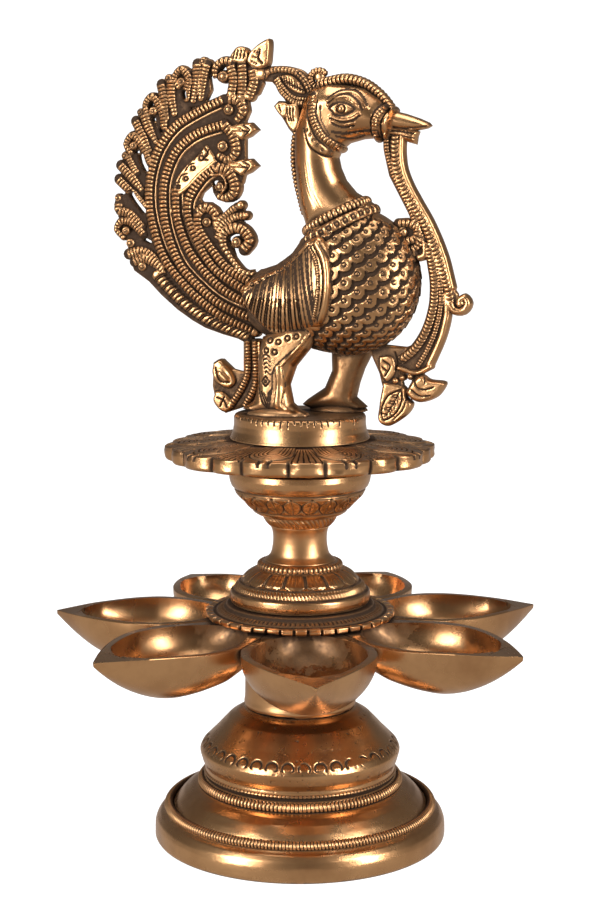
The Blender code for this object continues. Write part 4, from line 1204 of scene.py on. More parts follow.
def vine_relief():
    vine = Relief((21.0, 55.5), (133.0, 224.5), 0.25, web=1.8, ground=0.62)
    vine.web([(26.7, 224), (33.1, 224), (33.3, 216.8), (35.3, 211.2), (39.4, 204.2), (43.2, 197.1),
              (47.3, 188.1), (49.7, 177.4), (50.6, 176.2), (50.6, 172), (47.8, 170.4), (48.0, 168.2),
              (46.2, 162), (44, 157), (41.6, 153), (33.6, 151.4), (31.8, 152.8), (33.4, 156.8),
              (31.8, 158.6), (37, 160.6), (40.1, 166), (41.8, 171.5), (42.4, 178.9), (41.8, 184),
              (40.9, 189.4), (39.4, 191), (36.6, 196.6), (34.6, 201), (31.9, 206), (28.7, 212),
              (27.4, 217.5)])
    vine.web([(22.6, 160.6), (34.6, 159.6), (35.4, 156), (33.4, 154), (32.8, 151.4), (34, 147),
              (30, 146.6), (27, 147.4), (26, 151.4), (23.6, 156.6)])
    vine.web([(31.4, 198.4), (35.4, 197.4), (41, 196.6), (41.4, 186.6), (38.4, 186.2), (36.4, 187.2),
              (33.6, 186.8), (32, 190), (31, 194)])
    vine.rope([(28, 224), (28.1, 220), (29.2, 215.6), (31, 210.8), (34, 205), (37.4, 198), (39.4, 193.2)],
              0.95, 1.05, 1.0, 0.5)
    vine.rope([(30.7, 224), (30.7, 219), (31.3, 214.4), (33.2, 209), (37, 202.4), (40.3, 197.1),
               (42.8, 191.2), (45.5, 184.4), (47.8, 177.1), (48.4, 173.4)], 1.35, 1.2, 1.3, 0.5, bow=0.45)
    vine.rope([(32.8, 224), (32.8, 218), (33.7, 213), (36.5, 206.9), (42, 197.6), (46.2, 188),
               (48.9, 178.2)], 0.85, 1.0, 0.0)
    vine.rope([(48.2, 173.2), (49.8, 171.2), (52.4, 171.2), (53.8, 173.4), (52.6, 175.3), (50.9, 174.2)],
              1.15, 1.2, 0.0, end_width=0.8)
    vine.ball(51.5, 173.3, 1.5, 1.2)
    vine.cut([(50.1, 172.9), (51.2, 172.1), (52.4, 172.9)], 0.3)
    vine.rope([(41.4, 190.4), (42.4, 186), (43.4, 179), (43.0, 171.8), (40.8, 164.6), (37.2, 159),
               (33.6, 156)], 1.45, 1.25, 1.15,
              0.45, bow=0.5)
    vine.rope([(43.9, 188), (45.1, 181), (45.5, 173), (43.9, 165), (41.2, 158.6), (38.6, 154.2)], 0.85,
              1.0, 0.9, 0.5)
    vine.rope([(47.2, 176), (47.4, 170), (45.8, 163), (42.0, 154)], 1.0, 0.9, 0.0)
    vine.rope([(32.6, 153.2), (37.8, 151.8), (42.4, 153.8)], 0.75, 1.3, 0.0)
    vine.ball(33.3, 194.9, 1.7, 1.6)
    vine.rope([(31.8, 197.6), (35.2, 197.6), (37.8, 196), (37.4, 193.2), (34.6, 192.2)], 1.3, 1.4, 1.25,
              0.5)
    vine.rope([(39.6, 192.8), (37.4, 190.2), (34.2, 189.4), (33.0, 190.8)], 1.2, 1.3, 1.2, 0.5)
    vine.rope([(40.4, 191), (40.3, 188), (38.6, 187.2)], 1.0, 1.1, 0.0)
    vine.rope([(35.4, 187.8), (37.4, 188.4)], 0.9, 1.1, 1.1, 0.5)
    vine.cut([(33.9, 196.0), (32.6, 195.2), (32.9, 193.9)], 0.3)

    bud = [(34.6, 145.8), (36.5, 149.1), (39.5, 151.3), (42.0, 149.9), (43.8, 149.6), (46.4, 149.4),
           (47.4, 148.4), (44.6, 144.4), (39.6, 142.6), (36.2, 143.6)]
    vine.lump(bud, 1.5, 1.6)
    vine.cut([(37.6, 149.6), (38.6, 147.4), (40.8, 146.8), (43.6, 147.6)], 0.35)
    vine.cut([(40.6, 150.6), (41.0, 148.8)], 0.35)
    vine.cut([(36.8, 146.6), (39.4, 144.8), (42.6, 145)], 0.3)
    leaf = [(27.4, 148.6), (31.4, 148.2), (34.6, 147.0), (35, 144), (36.9, 142.2), (36, 139.6),
            (33.2, 137), (29.1, 134.8), (25.9, 136.4), (26.1, 141), (26.7, 145)]
    vine.lump(leaf, 1.0, 1.0)
    inner = [(33.4, 146.6), (33.6, 143), (31.6, 139), (28.0, 136.9), (27.2, 139.9), (29.2, 144.4)]
    vine.cut(inner + inner[:1], 0.32, 0.5)
    rib = curve_through([(33, 146), (31, 142), (28.4, 138)])
    vine.cut(rib, 0.22, 0.3, smooth=False)
    for k in range(7):
        x, z = rib[2 + int(k * (len(rib) - 4) / 6)]
        vine.cut([(x, z), (x - 1.5, z + 0.2)], 0.2, 0.25, smooth=False)
        vine.cut([(x, z), (x + 0.5, z - 1.4)], 0.2, 0.25, smooth=False)
    vine.cut([(35.2, 144.6), (34, 140.4), (31, 137)], 0.28, 0.35)
    for x, z in ((33.5, 150.2), (31.4, 149.2), (36, 150.6)):
        vine.ball(x, z, 1.0, 1.2)
    panel = [(26.2, 156.6), (30.4, 156.6), (31.4, 152), (28.8, 148.8), (26.6, 152)]
    vine.lump(panel, 0.8, 0.6)
    vine.cut([(27.6, 155.4), (29.8, 153.6), (28.2, 150.6)], 0.3)
    vine.cut([(27.2, 153.4), (28.8, 152.2)], 0.25)
    vine.cut([(31.2, 158), (32.2, 155), (31.4, 152.6)], 0.3)
    return vine


def crest_leaf_relief():
    leaf = Relief((-15.5, 8.0), (222.5, 247.0), 0.24, web=1.5, ground=0.8)
    outline = [(-11, 245.0), (-7.8, 245.6), (-1.3, 245.0), (2.2, 243.3), (4.4, 239.8), (5.6, 236.5),
               (2.2, 233.6), (-0.6, 232.6), (-4.2, 235.2), (-6.6, 238.6), (-8.6, 240.6)]
    leaf.web(outline, rounded=True)
    leaf.web([(-14.6, 244.6), (-8.0, 245.4), (-7.6, 240.6), (-14.8, 241.3)])
    leaf.web([(-8.2, 233.4), (-6.6, 235), (0.6, 234.6), (1.4, 226), (-0.4, 223.2), (-3.4, 226.4),
              (-5.2, 229.4)])
    leaf.rope([(-14.6, 243), (-11, 243.3), (-7.0, 244.4), (-1.6, 243.8), (1.8, 241.2), (4.4, 236.6)], 0.95,
              1.1, 1.15, 0.35)
    leaf.rope([(-7.4, 241.6), (-5.4, 237.6), (-1.6, 234.6), (1.6, 234.2)], 0.8, 0.9, 0.9, 0.5)
    leaf.rope([(-6.6, 242.2), (-4.6, 238.8), (-1.4, 236.0), (2.4, 235.4)], 0.5, 0.8, 0.9, 0.4)
    field = [(-6.2, 242.6), (-2.6, 242.8), (0.4, 240.6), (2.4, 237.2), (-0.4, 237.2), (-3.8, 239.4)]
    leaf.lump(field, 0.8, 0.8)
    for k in range(9):
        x = -5.4 + 0.85 * k
        leaf.cut([(x, 242.9 - 0.42 * k), (x + 0.2, 240.4 - 0.38 * k)], 0.2, 0.3, smooth=False)
        leaf.cut([(x - 0.3, 241.0 - 0.35 * k), (x + 1.1, 241.6 - 0.5 * k)], 0.2, 0.25, smooth=False)
    leaf.cut([(-0.4, 243.6), (2.6, 240.4), (4.2, 236.4)], 0.25, 0.35)
    leaf.ball(-12.6, 243.0, 1.9, 1.3, stretch=(1.2, 0.1))
    leaf.cut([(-10.9, 244.6), (-10.4, 242.9), (-10.9, 241.4)], 0.3, 0.35)
    leaf.lump([(-8.0, 233), (-6.7, 234.5), (-3.5, 234.2), (-2.6, 231.6), (-4.4, 229.6), (-6.2, 230.6)],
              1.1, 0.9)
    leaf.lump([(-3.7, 234), (0.1, 233.4), (0.6, 228), (-1.4, 225.4), (-4.0, 228.6)], 1.2, 0.9)
    for k in range(3):
        leaf.cut([(-3.4 + 1.0 * k, 232.8), (-3.3 + 0.9 * k, 230.6), (-2.6 + 0.7 * k, 228.8)], 0.22, 0.3)
    leaf.cut([(-6.0, 233.6), (-5.4, 231.4)], 0.22, 0.3)
    return leaf


# Rounded pieces drawn in the same plane

THINNEST = 0.12


def swell(relief, width, radius, smoothing):
    """Half thickness of a plump body: a full round of the given radius in from its outline."""
    depth = np.clip(relief.edge, 0.0, None)
    rim = np.clip(depth / radius, 0.0, 1.0)
    half = width * np.sqrt(np.clip(1.0 - (1.0 - rim) ** 2, 0.0, 1.0))
    for _ in range(smoothing):
        padded = np.pad(half, 1, mode="edge")
        mean = (padded[:-2, 1:-1] + padded[2:, 1:-1] + padded[1:-1, :-2] + padded[1:-1, 2:]) / 4.0
        half = np.where(depth > 1.4, mean, half)
    return np.maximum(half, THINNEST)


def build_round(relief, name, width, radius, centre=0.0, one_sided=None, smoothing=6, bend=None):
    """Closes a plump body; one_sided limits its carving to the side away from the bird's middle."""
    edge = relief.edge
    half = swell(relief, width, radius, smoothing)
    relief_height = relief.height * smooth_step(0.0, 0.8, np.clip(edge, 0.0, None))
    middle = np.full(edge.shape, centre) if bend is None else centre + bend(*relief.snapped())
    near = half + relief_height * (0.0 if one_sided == 1 else 1.0)
    far = half + relief_height * (0.0 if one_sided == -1 else 1.0)
    dark = relief.dark * smooth_step(0.0, 0.4, np.clip(edge, 0.0, None))
    plain = np.full(dark.shape, np.median(relief.dark[edge > 0.0]))
    front_dark = plain if one_sided == 1 else dark
    back_dark = plain if one_sided == -1 else dark
    return relief.closed(name, middle - near, middle + far, front_dark, back_dark)


def head_relief():
    head = Relief((-4.0, 33.5), (195.0, 241.5), 0.27, ground=0.17)
    head.web([
        (2.6, 195.8), (1.8, 198.4), (0.3, 203.1), (-0.6, 208.9), (-1.2, 215.4), (-1.4, 220),
        (-1.2, 225.2), (0.2, 230), (1.6, 234.8), (4.6, 238.8), (10, 240.0), (15, 239.6), (21.3, 238.4),
        (26.2, 235.0), (30, 231.2), (31, 228.5), (30, 224.8), (27, 223.5), (20.7, 223.0), (16.1, 221.8),
        (13.6, 219.8), (12.5, 217.5), (13.2, 214.4), (14.8, 210.8), (18, 207.1), (22.2, 204.6),
        (24.5, 203.0), (22, 195.8),
    ])
    eye = [(11.7, 232.2), (13.6, 233.7), (16.2, 233.8), (19.5, 232.0), (16.7, 230.3), (13.7, 230.2)]
    head.lump(eye, 0.7, 0.7)
    head.cut(eye + eye[:1], 0.42, 0.75, dark=0.9)
    head.ball(15.4, 232.0, 1.3, 1.3)
    head.dot(15.4, 232.0, 1.3, 0.28, 0.45)
    for line in ([(11.2, 233.8), (13.7, 235.9), (17.2, 236.3), (20.3, 234.3), (21.8, 231.7)],
                 [(11.0, 235.2), (14.3, 237.5), (18.4, 237.8), (21.4, 235.8), (23.2, 232.9)],
                 [(12.0, 229.2), (15.0, 228.1), (18.6, 228.4), (21.0, 229.9)],
                 [(12.6, 227.7), (15.6, 226.6), (19.1, 227.1)]):
        head.rope([(x + 0.1, z - 0.55 * np.sign(z - 232)) for x, z in line], 0.6, 0.6, 0.0)
        head.cut(line, 0.40, 0.7)
    head.cut([(12.4, 225.2), (16.0, 224.8), (20.8, 225.4), (24.0, 225.4)], 0.42, 0.65)
    head.cut([(13.4, 223.9), (17.4, 223.2), (21.8, 224.2)], 0.3, 0.4)
    head.rope([(5.9, 236.4), (6.1, 230.4), (8.6, 225), (13.6, 220.2)], 1.15, 1.2, 1.1, 0.5)
    head.cut([(7.6, 234.6), (7.7, 230), (10.4, 224.6), (14.8, 221.2)], 0.3, 0.4)
    head.cut([(8.9, 233), (9.0, 229), (11.6, 224.2)], 0.28, 0.3)
    head.cut([(4.7, 235), (4.6, 230), (7.0, 224.2), (11.6, 219.4)], 0.36, 0.5)
    head.lump([(3.7, 229.4), (4.9, 229.0), (7.2, 223.6), (11.2, 219.6), (10.0, 218.2), (6.0, 220.4),
               (3.7, 224.6)], 0.7, 0.6)
    for k in range(5):
        head.dot(4.6 + 1.15 * k, 225.8 - 1.5 * k, 0.35, 0.22, 0.25)
    head.cut([(3.4, 226.4), (5.2, 221.4), (9.0, 218.2), (11.4, 217.8)], 0.36, 0.5)
    head.rope([(28.2, 232.8), (26.1, 229.6), (25.2, 225.0), (25.4, 223.2)], 1.05, 1.3, 1.0, 0.5)
    head.cut([(27.2, 233.8), (25.0, 229.8), (24.1, 224.2)], 0.42, 0.6)
    head.rope([(30.3, 231.8), (28.8, 228.4), (28.1, 223.6)], 0.9, 1.5, 0.0)
    head.cut([(29.4, 232.0), (27.6, 228.4), (26.9, 224.0)], 0.32, 0.5)
    for k in range(3):
        head.cut([(3.0 + 0.8 * k, 216), (4.4 + 0.9 * k, 208), (8.0 + 0.9 * k, 201)], 0.25, 0.08, dark=0.25)
    return head


def make_neck_and_head():
    head = build_round(head_relief(), "neck_and_head_form", 8.0, 7.2, smoothing=14)
    dress(head, "bird", POLISHED, "neck_and_head")
    upper = Relief((26.5, 43.0), (224.0, 233.0), 0.2, ground=0.0)
    upper.web([(27.0, 232.0), (30, 231.6), (34, 230.6), (38.2, 229.2), (41.2, 227.9), (42.0, 226.9),
               (40.6, 226.1), (36.4, 225.3), (31, 225.6), (26.8, 226.0)])
    upper.cut([(28.6, 226.9), (34, 226.2), (40.4, 226.8)], 0.3, 0.35)
    dress(build_round(upper, "upper_beak", 3.9, 3.2, smoothing=10), "bird", POLISHED)
    lower = Relief((25.5, 40.0), (219.5, 229.0), 0.2, ground=0.0)
    lower.web([(26.4, 227.6), (31, 227.0), (35, 226.2), (38.2, 225.3), (37.6, 223.7), (37.3, 221.3),
               (35, 221.9), (31, 223.4), (26.4, 224.0)])
    lower.cut([(27.4, 225.4), (31.6, 225.4), (36.6, 224.6)], 0.34, 0.6)
    lower.cut([(29.4, 224.4), (33, 223.9), (36.8, 223.2)], 0.24, 0.35)
    dress(build_round(lower, "lower_beak", 3.4, 2.2, smoothing=8), "bird", POLISHED)
    edge = [(0.4, 230.5), (-0.8, 226.4), (-1.7, 221.9), (-1.8, 216.2), (-1.0, 210.5), (0.4, 204.8),
            (1.8, 199.4)]
    dress(cord_tube("neck_edge_cord", edge, 1.25, 1.25, 0.42, thick=1.5), "bird", CHASED)


def cord_tube(name, line, radius, pitch, depth, end_radius=None, bow=0.0, thick=1.0):
    """A round cord along a line in the bird's plane, notched across at each pitch."""
    end_radius = radius if end_radius is None else end_radius
    smooth = curve_through(line, 0.35)
    lengths = np.concatenate([[0.0], np.cumsum(np.linalg.norm(np.diff(smooth, axis=0), axis=1))])
    steps = max(8, int(lengths[-1] / (pitch / 7.0)))
    s = np.linspace(0.0, lengths[-1], steps)
    x = np.interp(s, lengths, smooth[:, 0])
    z = np.interp(s, lengths, smooth[:, 1])
    run = np.stack([np.gradient(x), np.gradient(z)], axis=1)
    run /= np.linalg.norm(run, axis=1)[:, None]
    around = 20
    turn = np.arange(around) * TAU / around
    ss, tt = np.meshgrid(s, turn, indexing="ij")
    notch = np.abs(np.sin(np.pi * (ss / pitch + bow * np.abs(np.sin(tt)))))
    t = ss / lengths[-1]
    local = radius + (end_radius - radius) * t
    local = local * np.sqrt(np.clip(1.0 - (1.0 - np.minimum(1.0, 12 * np.minimum(t, 1 - t) + 0.1)) ** 2,
                                    0.05, 1.0))
    r = local * (1.0 - depth * (1.0 - notch ** 0.5))
    out = r * np.cos(tt)
    px = x[:, None] - run[:, 1][:, None] * out
    pz = z[:, None] + run[:, 0][:, None] * out
    py = r * np.sin(tt) * thick
    points = np.stack([px, py, pz], axis=-1)
    dark = 0.9 * (1.0 - smooth_step(0.12, 0.5, notch))
    caps = end_caps(steps, around)
    return mesh_piece(name, points, grid_faces(steps, around, False, True), dark, caps)


def make_crest_rope():
    arc = [(5.6, 239.6), (9.3, 240.3), (15, 241.2), (20.6, 239.9), (24.9, 237.1), (27.9, 234.0),
           (30.0, 230.9)]
    rope = cord_tube("crest_cord", arc, 2.05, 1.3, 0.30, end_radius=1.5, bow=0.8, thick=1.9)
    dress(rope, "bird", CHASED, "crest_rope")
    curl = cord_tube("crest_curl", [(8.4, 239.6), (5.2, 239.2), (3.6, 241.2), (4.4, 243.4), (6.8, 243.9),
                                    (8.6, 242.6)], 1.3, 1.0, 0.3,
                     end_radius=1.1, thick=1.5)
    dress(curl, "bird", CHASED)
    knobs = Relief((3.5, 9.5), (239.0, 245.5), 0.2, ground=0.0)
    knobs.ball(6.5, 242.0, 1.6, 0.0)
    dress(build_round(knobs, "crest_knobs", 1.7, 1.4, smoothing=2), "bird", CHASED)


# Bird's body

BREAST_CENTRE = np.array([16.5, 0.0, 180.0])
BREAST_RADII = np.array([22.2, 16.5, 23.0])
RUMP_CENTRE = np.array([0.0, 0.0, 173.0])
RUMP_RADII = np.array([19.0, 12.5, 13.5])
BLEND = 7.0
SADDLE_X = [-20.0, -11.5, -6.0, 0.0, 4.0, 7.0]
SADDLE_Z = [183.5, 183.0, 184.6, 188.2, 193.5, 200.0]
SCALE_COLUMN = math.radians(10.6)
SCALE_ROW = math.radians(13.6)


def ray_to_ellipsoid(start, direction, centre, radii):
    p = (start - centre) / radii
    d = direction / radii
    a = np.sum(d * d, axis=-1)
    b = np.sum(d * p, axis=-1)
    c = np.sum(p * p) - 1.0
    return (-b + np.sqrt(np.maximum(b * b - a * c, 0.0))) / a


def body_half_width(x, z):
    """Half the body's width, measured sideways from the bird's plane."""
    widths = []
    for centre, radii in ((BREAST_CENTRE, BREAST_RADII), (RUMP_CENTRE, RUMP_RADII)):
        inside = 1.0 - ((x - centre[0]) / radii[0]) ** 2 - ((z - centre[2]) / radii[2]) ** 2
        widths.append(radii[1] * np.sqrt(np.clip(inside, 0.0, 1.0)))
    return 0.985 * (widths[0] ** BLEND + widths[1] ** BLEND) ** (1.0 / BLEND)


def feather_scales(x, y, z):
    """Overlapping round scales in staggered columns, each with a punched ring and a dark groove below its
    lip: patina, with the lip's shadow painted in.
    """
    a = np.arctan2(np.abs(y) / BREAST_RADII[1], (x - BREAST_CENTRE[0]) / BREAST_RADII[0])
    b = np.arcsin(np.clip((z - BREAST_CENTRE[2]) / BREAST_RADII[2], -1.0, 1.0))
    wide = 20.5 * np.cos(b)
    column = np.round(a / SCALE_COLUMN)
    best = np.full(x.shape, -9.0)
    height = np.zeros(x.shape)
    dark = np.full(x.shape, 0.55)
    lip = np.zeros(x.shape)
    punch = np.zeros(x.shape)
    for dc in (-1, 0, 1):
        k = column + dc
        shift = 0.5 * (np.abs(k) % 2)
        row = np.round(b / SCALE_ROW - shift)
        for dr in (-1, 0, 1):
            b0 = (row + dr + shift) * SCALE_ROW
            sideways = (a - k * SCALE_COLUMN) * wide
            above = (b - b0) * 22.6
            size = np.clip(np.cos(b0) * 1.12, 0.35, 1.0)
            across = np.abs(sideways) / (2.45 * size)
            reach = np.hypot(across, np.clip(-above, 0.0, None) / 2.55)
            covers = (reach < 0.93) & (above < 3.4)
            # Just below each covering scale's lip a crescent is cut and painted black: patina in the
            # groove, and painted shadow cast by the lip.
            lip_here = smooth_step(0.90, 0.97, reach) * (1.0 - smooth_step(1.36, 1.48, reach))
            lip_here = lip_here * smooth_step(-0.1, 0.9, -above)
            lip = np.where((b0 > best) & (above < 0.0), np.maximum(lip, lip_here), lip)
            upper = covers & (b0 > best)
            crown = 0.30 + 0.30 * smooth_step(-2.4, 2.4, -above) - 0.10 * smooth_step(0.8, 1.0, reach)
            height = np.where(upper, crown, height)
            lip = np.where(upper, 0.0, lip)
            punch = np.where(upper, line_mark(np.hypot(sideways, above + 0.1) - 0.62 * size, 0.26), punch)
            dark = np.where(upper, 0.10, dark)
            best = np.where(upper, b0, best)
    return height - 0.80 * lip - 0.36 * punch, np.maximum.reduce([dark, 1.35 * lip, 1.2 * punch])


def make_body():
    columns, rows = 400, 235
    start = np.array([10.0, 0.0, 177.0])
    turn = np.arange(columns) * TAU / columns
    lift = np.linspace(-0.5, 0.5, rows) * math.pi * 0.992
    tt, ll = np.meshgrid(turn, lift, indexing="ij")
    direction = np.stack([np.cos(ll) * np.cos(tt), np.cos(ll) * np.sin(tt), np.sin(ll)], axis=-1)
    breast = ray_to_ellipsoid(start, direction, BREAST_CENTRE, BREAST_RADII)
    rump = ray_to_ellipsoid(start, direction, RUMP_CENTRE, RUMP_RADII)
    reach = (breast ** BLEND + rump ** BLEND) ** (1.0 / BLEND) * 0.985
    points = start + direction * reach[..., None]
    x, y, z = points[..., 0], points[..., 1], points[..., 2]
    height, dark = feather_scales(x, y, z)
    zone = smooth_step(3.0, 6.0, x) * (1.0 - smooth_step(203.0, 204.0, z + 0.45 * (x - 16)))
    rear = 1.0 - smooth_step(3.0, 6.0, x)
    carved = 0.12 * value_noise(x * 1.1, z + y, 61, 1.0)
    points = points + direction * (zone * height + rear * carved)[..., None]
    dark = zone * dark + 0.75 * rear + 0.10
    front_wear = smooth_step(33.5, 37.5, x)
    dark = np.maximum(dark * (1.0 - 0.5 * front_wear), 0.45 * front_wear)
    saddle = np.interp(x, SADDLE_X, SADDLE_Z)
    above = np.clip(points[..., 2] - saddle, 0.0, None)
    points[..., 2] -= np.where(x < 7.0, 0.85 * above, 0.0)
    points[..., 0] = np.maximum(points[..., 0], -15.2)
    caps = [[c * rows for c in reversed(range(columns))], [c * rows + rows - 1 for c in range(columns)]]
    quads = grid_faces(columns, rows, True, False)
    body = mesh_piece("scaled_body", points, quads, dark, caps)
    dress(body, "bird", CHASED, "bird_body")


def make_wing(side):
    side_name = "left" if side > 0 else "right"
    wing = Relief((-18.0, 17.0), (162.0, 195.0), 0.24)
    outline = [(-16.6, 176.6), (-13.2, 180.6), (-3.8, 184.2), (2.4, 188.2), (6.4, 192.4), (11, 193.4),
               (14.2, 187.4), (15, 180.3), (14.2, 173), (11.4, 166.4), (5, 164.9), (0, 163.6),
               (-5.4, 163.2), (-10.0, 166.0), (-15.0, 172.0)]
    wing.web(outline, dark=0.1, rounded=True)
    tops = curve_through([(-13.6, 176.8), (-7.4, 180.6), (-0.6, 184.8), (4.8, 189.8), (8.0, 191.0)])
    ends = curve_through([(-15.4, 174.4), (-11.8, 168.6), (-7.4, 164.8), (-0.6, 164.2), (5.2, 165.4),
                          (8.6, 167.4), (9.6, 171)])
    strokes = 27
    for k in range(strokes):
        t = k / (strokes - 1)
        top = tops[int(t * (len(tops) - 1))]
        end = ends[int(t * (len(ends) - 1))]
        middle = 0.5 * (top + end) + np.array([0.9 * math.sin(math.pi * t) - 0.3, 0.0])
        wing.cut([tuple(top), tuple(middle), tuple(end)], 0.30, 0.6, dark=0.75)
    wing.rope([(-15.0, 177.6), (-10.6, 180.4), (-3.4, 183.6), (2.4, 187.6), (6.6, 191.6)], 0.8, 0.7, 0.0,
              dark=0.1)
    for k in range(7):
        t = (k + 0.5) / 7
        x, z = curve_through([(-14, 178), (-3.6, 183.4), (6.0, 191.2)])[int(t * 30)]
        wing.dot(x, z, 0.55, 0.28, 0.3)
    wing.rope([(9.8, 191.6), (12.9, 186.4), (13.8, 180), (12.9, 173), (10.8, 168.4)], 1.15, 1.1, 0.0,
              dark=0.12)
    wing.rope([(7.2, 190.6), (9.9, 186), (10.8, 180), (10.0, 173.4), (8.6, 168.6)], 0.6, 0.7, 0.8, 0.5)
    wing.cut([(8.7, 191.2), (11.5, 186.2), (12.4, 180), (11.6, 173.2), (10.0, 168)], 0.3, 0.5)
    wing.cut([(10.8, 191.6), (14.2, 186.4), (14.8, 180)], 0.25, 0.3)

    def bend(x, z):
        inner = np.clip(x, -12.5, 14.0), np.clip(z, 165.0, 188.0 + 0.1 * x)
        return side * np.maximum(body_half_width(*inner) - 0.8, 4.0)

    obj = build_round(wing, "feathered_wing_" + side_name, 2.3, 1.8, one_sided=side, smoothing=3, bend=bend)
    dress(obj, "bird", CHASED, "wing_" + side_name)


def make_leg(side, shift, name, node, carved):
    leg = Relief((-18.0, 28.0), (137.8, 167.0), 0.26, ground=0.3)
    if carved:
        leg.web([(-9.6, 162.5), (-11.2, 155.3), (-11.0, 147.6), (-12.4, 142.4), (-16.4, 139.6),
                 (-12, 138.3), (0.6, 138.3), (3.4, 139.2), (0.2, 142.0), (-0.9, 147.5), (1.2, 153.4),
                 (5.6, 158.8), (8.6, 165.6), (0, 166.4)])
        panel = [(-9.4, 161.8), (-6.8, 164), (6.4, 164.8), (4.4, 161.4), (-4.4, 153.4), (-5.4, 147.3),
                 (-6.9, 140.4), (-9.6, 145), (-10.2, 154)]
        leg.cut(panel + panel[:1], 0.3, 0.4)
        leg.rope([(6.0, 163.6), (3.6, 160.2), (-4.0, 152.4)], 0.45, 0.5, 0.0)
        for k, (x, z) in enumerate([(-6.2, 161.6), (-3.4, 161.2), (-0.4, 162.4), (2.4, 163.0),
                                    (-7.4, 158.4), (-4.6, 158.0)]):
            leg.dot(x, z, 0.8, 0.32)
        for k in range(5):
            leg.cut([(-8.8 + 0.3 * k, 156.6 - 1.3 * k), (-7.4, 157.2 - 1.3 * k), (-6.0, 156.2 - 1.3 * k)],
                    0.25, 0.3)
        leg.cut([(-7.6, 150.4), (-6.2, 148.8), (-7.6, 147.2), (-9.0, 148.8), (-7.6, 150.4)], 0.3, 0.4,
                smooth=False)
        leg.dot(-7.6, 148.8, 0.35, 0.25)
        leg.cut([(-9.0, 145.6), (-7.2, 140.8), (-6.0, 146)], 0.3, 0.4, smooth=False)
        leg.cut([(-8.2, 145.2), (-7.2, 142.6), (-6.6, 145.4)], 0.22, 0.3, smooth=False)
        leg.rope([(-3.4, 153), (-2.8, 147.5), (-3.6, 141.5), (-2, 139.6)], 1.2, 0.8, 0.0)
        width, radius = 4.6, 3.6
    else:
        # The far leg's plate is darkened to 0.46 against the near leg's 0.3: painted shade on the leg that
        # stands on the bird's shaded far side.
        leg.web([(7.6, 163), (8.4, 157), (8.6, 151), (6.2, 145.4), (0.6, 141.6), (-1.4, 139.8), (2, 138.3),
                 (17.8, 138.3), (20.2, 139.6), (16.6, 142.6), (17.6, 147), (19.2, 151.6), (22.4, 158),
                 (22.8, 163)], dark=0.46)
        width, radius = 4.8, 4.2
    obj = build_round(leg, name, width, radius, centre=side * shift, one_sided=side, smoothing=10)
    dress(obj, "bird", CHASED, node)


def make_legs():
    make_leg(-1, 7.6, "chased_leg", "leg_right", True)
    make_leg(1, 7.6, "far_leg", "leg_left", False)
    near = make_foot_pad("near_foot", (-4.5, -8.6, 138.0), 10.2, 5.4, 2.6)
    dress(near, "bird", CHASED)
    far = make_foot_pad("far_foot", (10.5, 8.2, 138.0), 9.6, 5.4, 2.6)
    dress(far, "bird", CHASED)


def make_foot_pad(name, centre, length, width, height):
    """A spread foot with three toes, resting on the drum."""
    around, rings = 120, 26
    turn = np.arange(around) * TAU / around
    out = np.linspace(0.0, 1.0, rings)
    oo, tt = np.meshgrid(out, turn, indexing="ij")
    toes = 1.0 - 0.10 * smooth_step(0.2, 1.0, np.cos(tt)) * (0.5 + 0.5 * np.cos(tt * 9.0))
    px = oo * length * np.cos(tt) * toes
    py = oo * width * np.sin(tt) * toes
    pz = height * (1.0 - oo ** 2) ** 0.62
    ahead = px / length
    groove = line_mark(np.abs(py) - 0.33 * width * ahead, 0.5) * smooth_step(0.25, 0.5, ahead)
    groove = groove * (1 - oo ** 4)
    pz = np.maximum(pz - 0.4 * groove, 0.0)
    top = np.stack([centre[0] + px, centre[1] + py, centre[2] + pz + 0.35], axis=-1)
    bottom = top[-1:].copy()
    bottom[..., 2] = centre[2]
    points = np.concatenate([top, bottom])
    dark = np.concatenate([0.32 + 0.6 * groove, np.full((1, around), 0.32)])
    caps = [list(range(around))[::-1], [rings * around + i for i in range(around)]]
    return mesh_piece(name, points, grid_faces(rings + 1, around, False, True), dark, caps)


# Necklace


def tilted_ring(name, centre, tilt, radii, half_width, half_height, count, depth, samples=8, dots=False):
    """A corded ring round the neck's root, leaning forward."""
    segments = count * samples
    around = 16
    theta = np.arange(segments) * TAU / segments
    section = np.arange(around) * TAU / around
    turn, s = np.meshgrid(theta, section, indexing="ij")
    notch = np.abs(np.sin(0.5 * turn * count))
    if dots:
        phase = (turn * count / TAU) % 1.0 - 0.5
        mark = line_mark(np.hypot(phase * 2.6, np.sin(s) * 1.25) - 0.62, 0.34) * (np.cos(s) > 0)
        fullness = 1.0 - depth * mark
        dark = 0.95 * mark
    else:
        fullness = 1.0 - depth * (1.0 - notch ** 0.6)
        dark = 0.9 * (1.0 - smooth_step(0.15, 0.55, notch)) * (np.cos(s) > -0.3)
    bulge = np.sign(np.cos(s)) * np.abs(np.cos(s)) ** 0.8
    a = half_width * bulge * fullness
    b = half_height * np.sin(s) * np.where(np.cos(s) > 0, 0.5 + 0.5 * fullness, 1.0)
    lx = (radii[0] + a) * np.cos(turn)
    ly = (radii[1] + a) * np.sin(turn)
    c, sn = math.cos(tilt), math.sin(tilt)
    x = centre[0] + lx * c + b * sn
    z = centre[2] - lx * sn + b * c
    points = np.stack([x, centre[1] + ly, z], axis=-1)
    dark = np.maximum(dark, smooth_step(0.75, 0.98, np.abs(np.sin(s))))
    return mesh_piece(name, points, grid_faces(segments, around, True, True), dark)


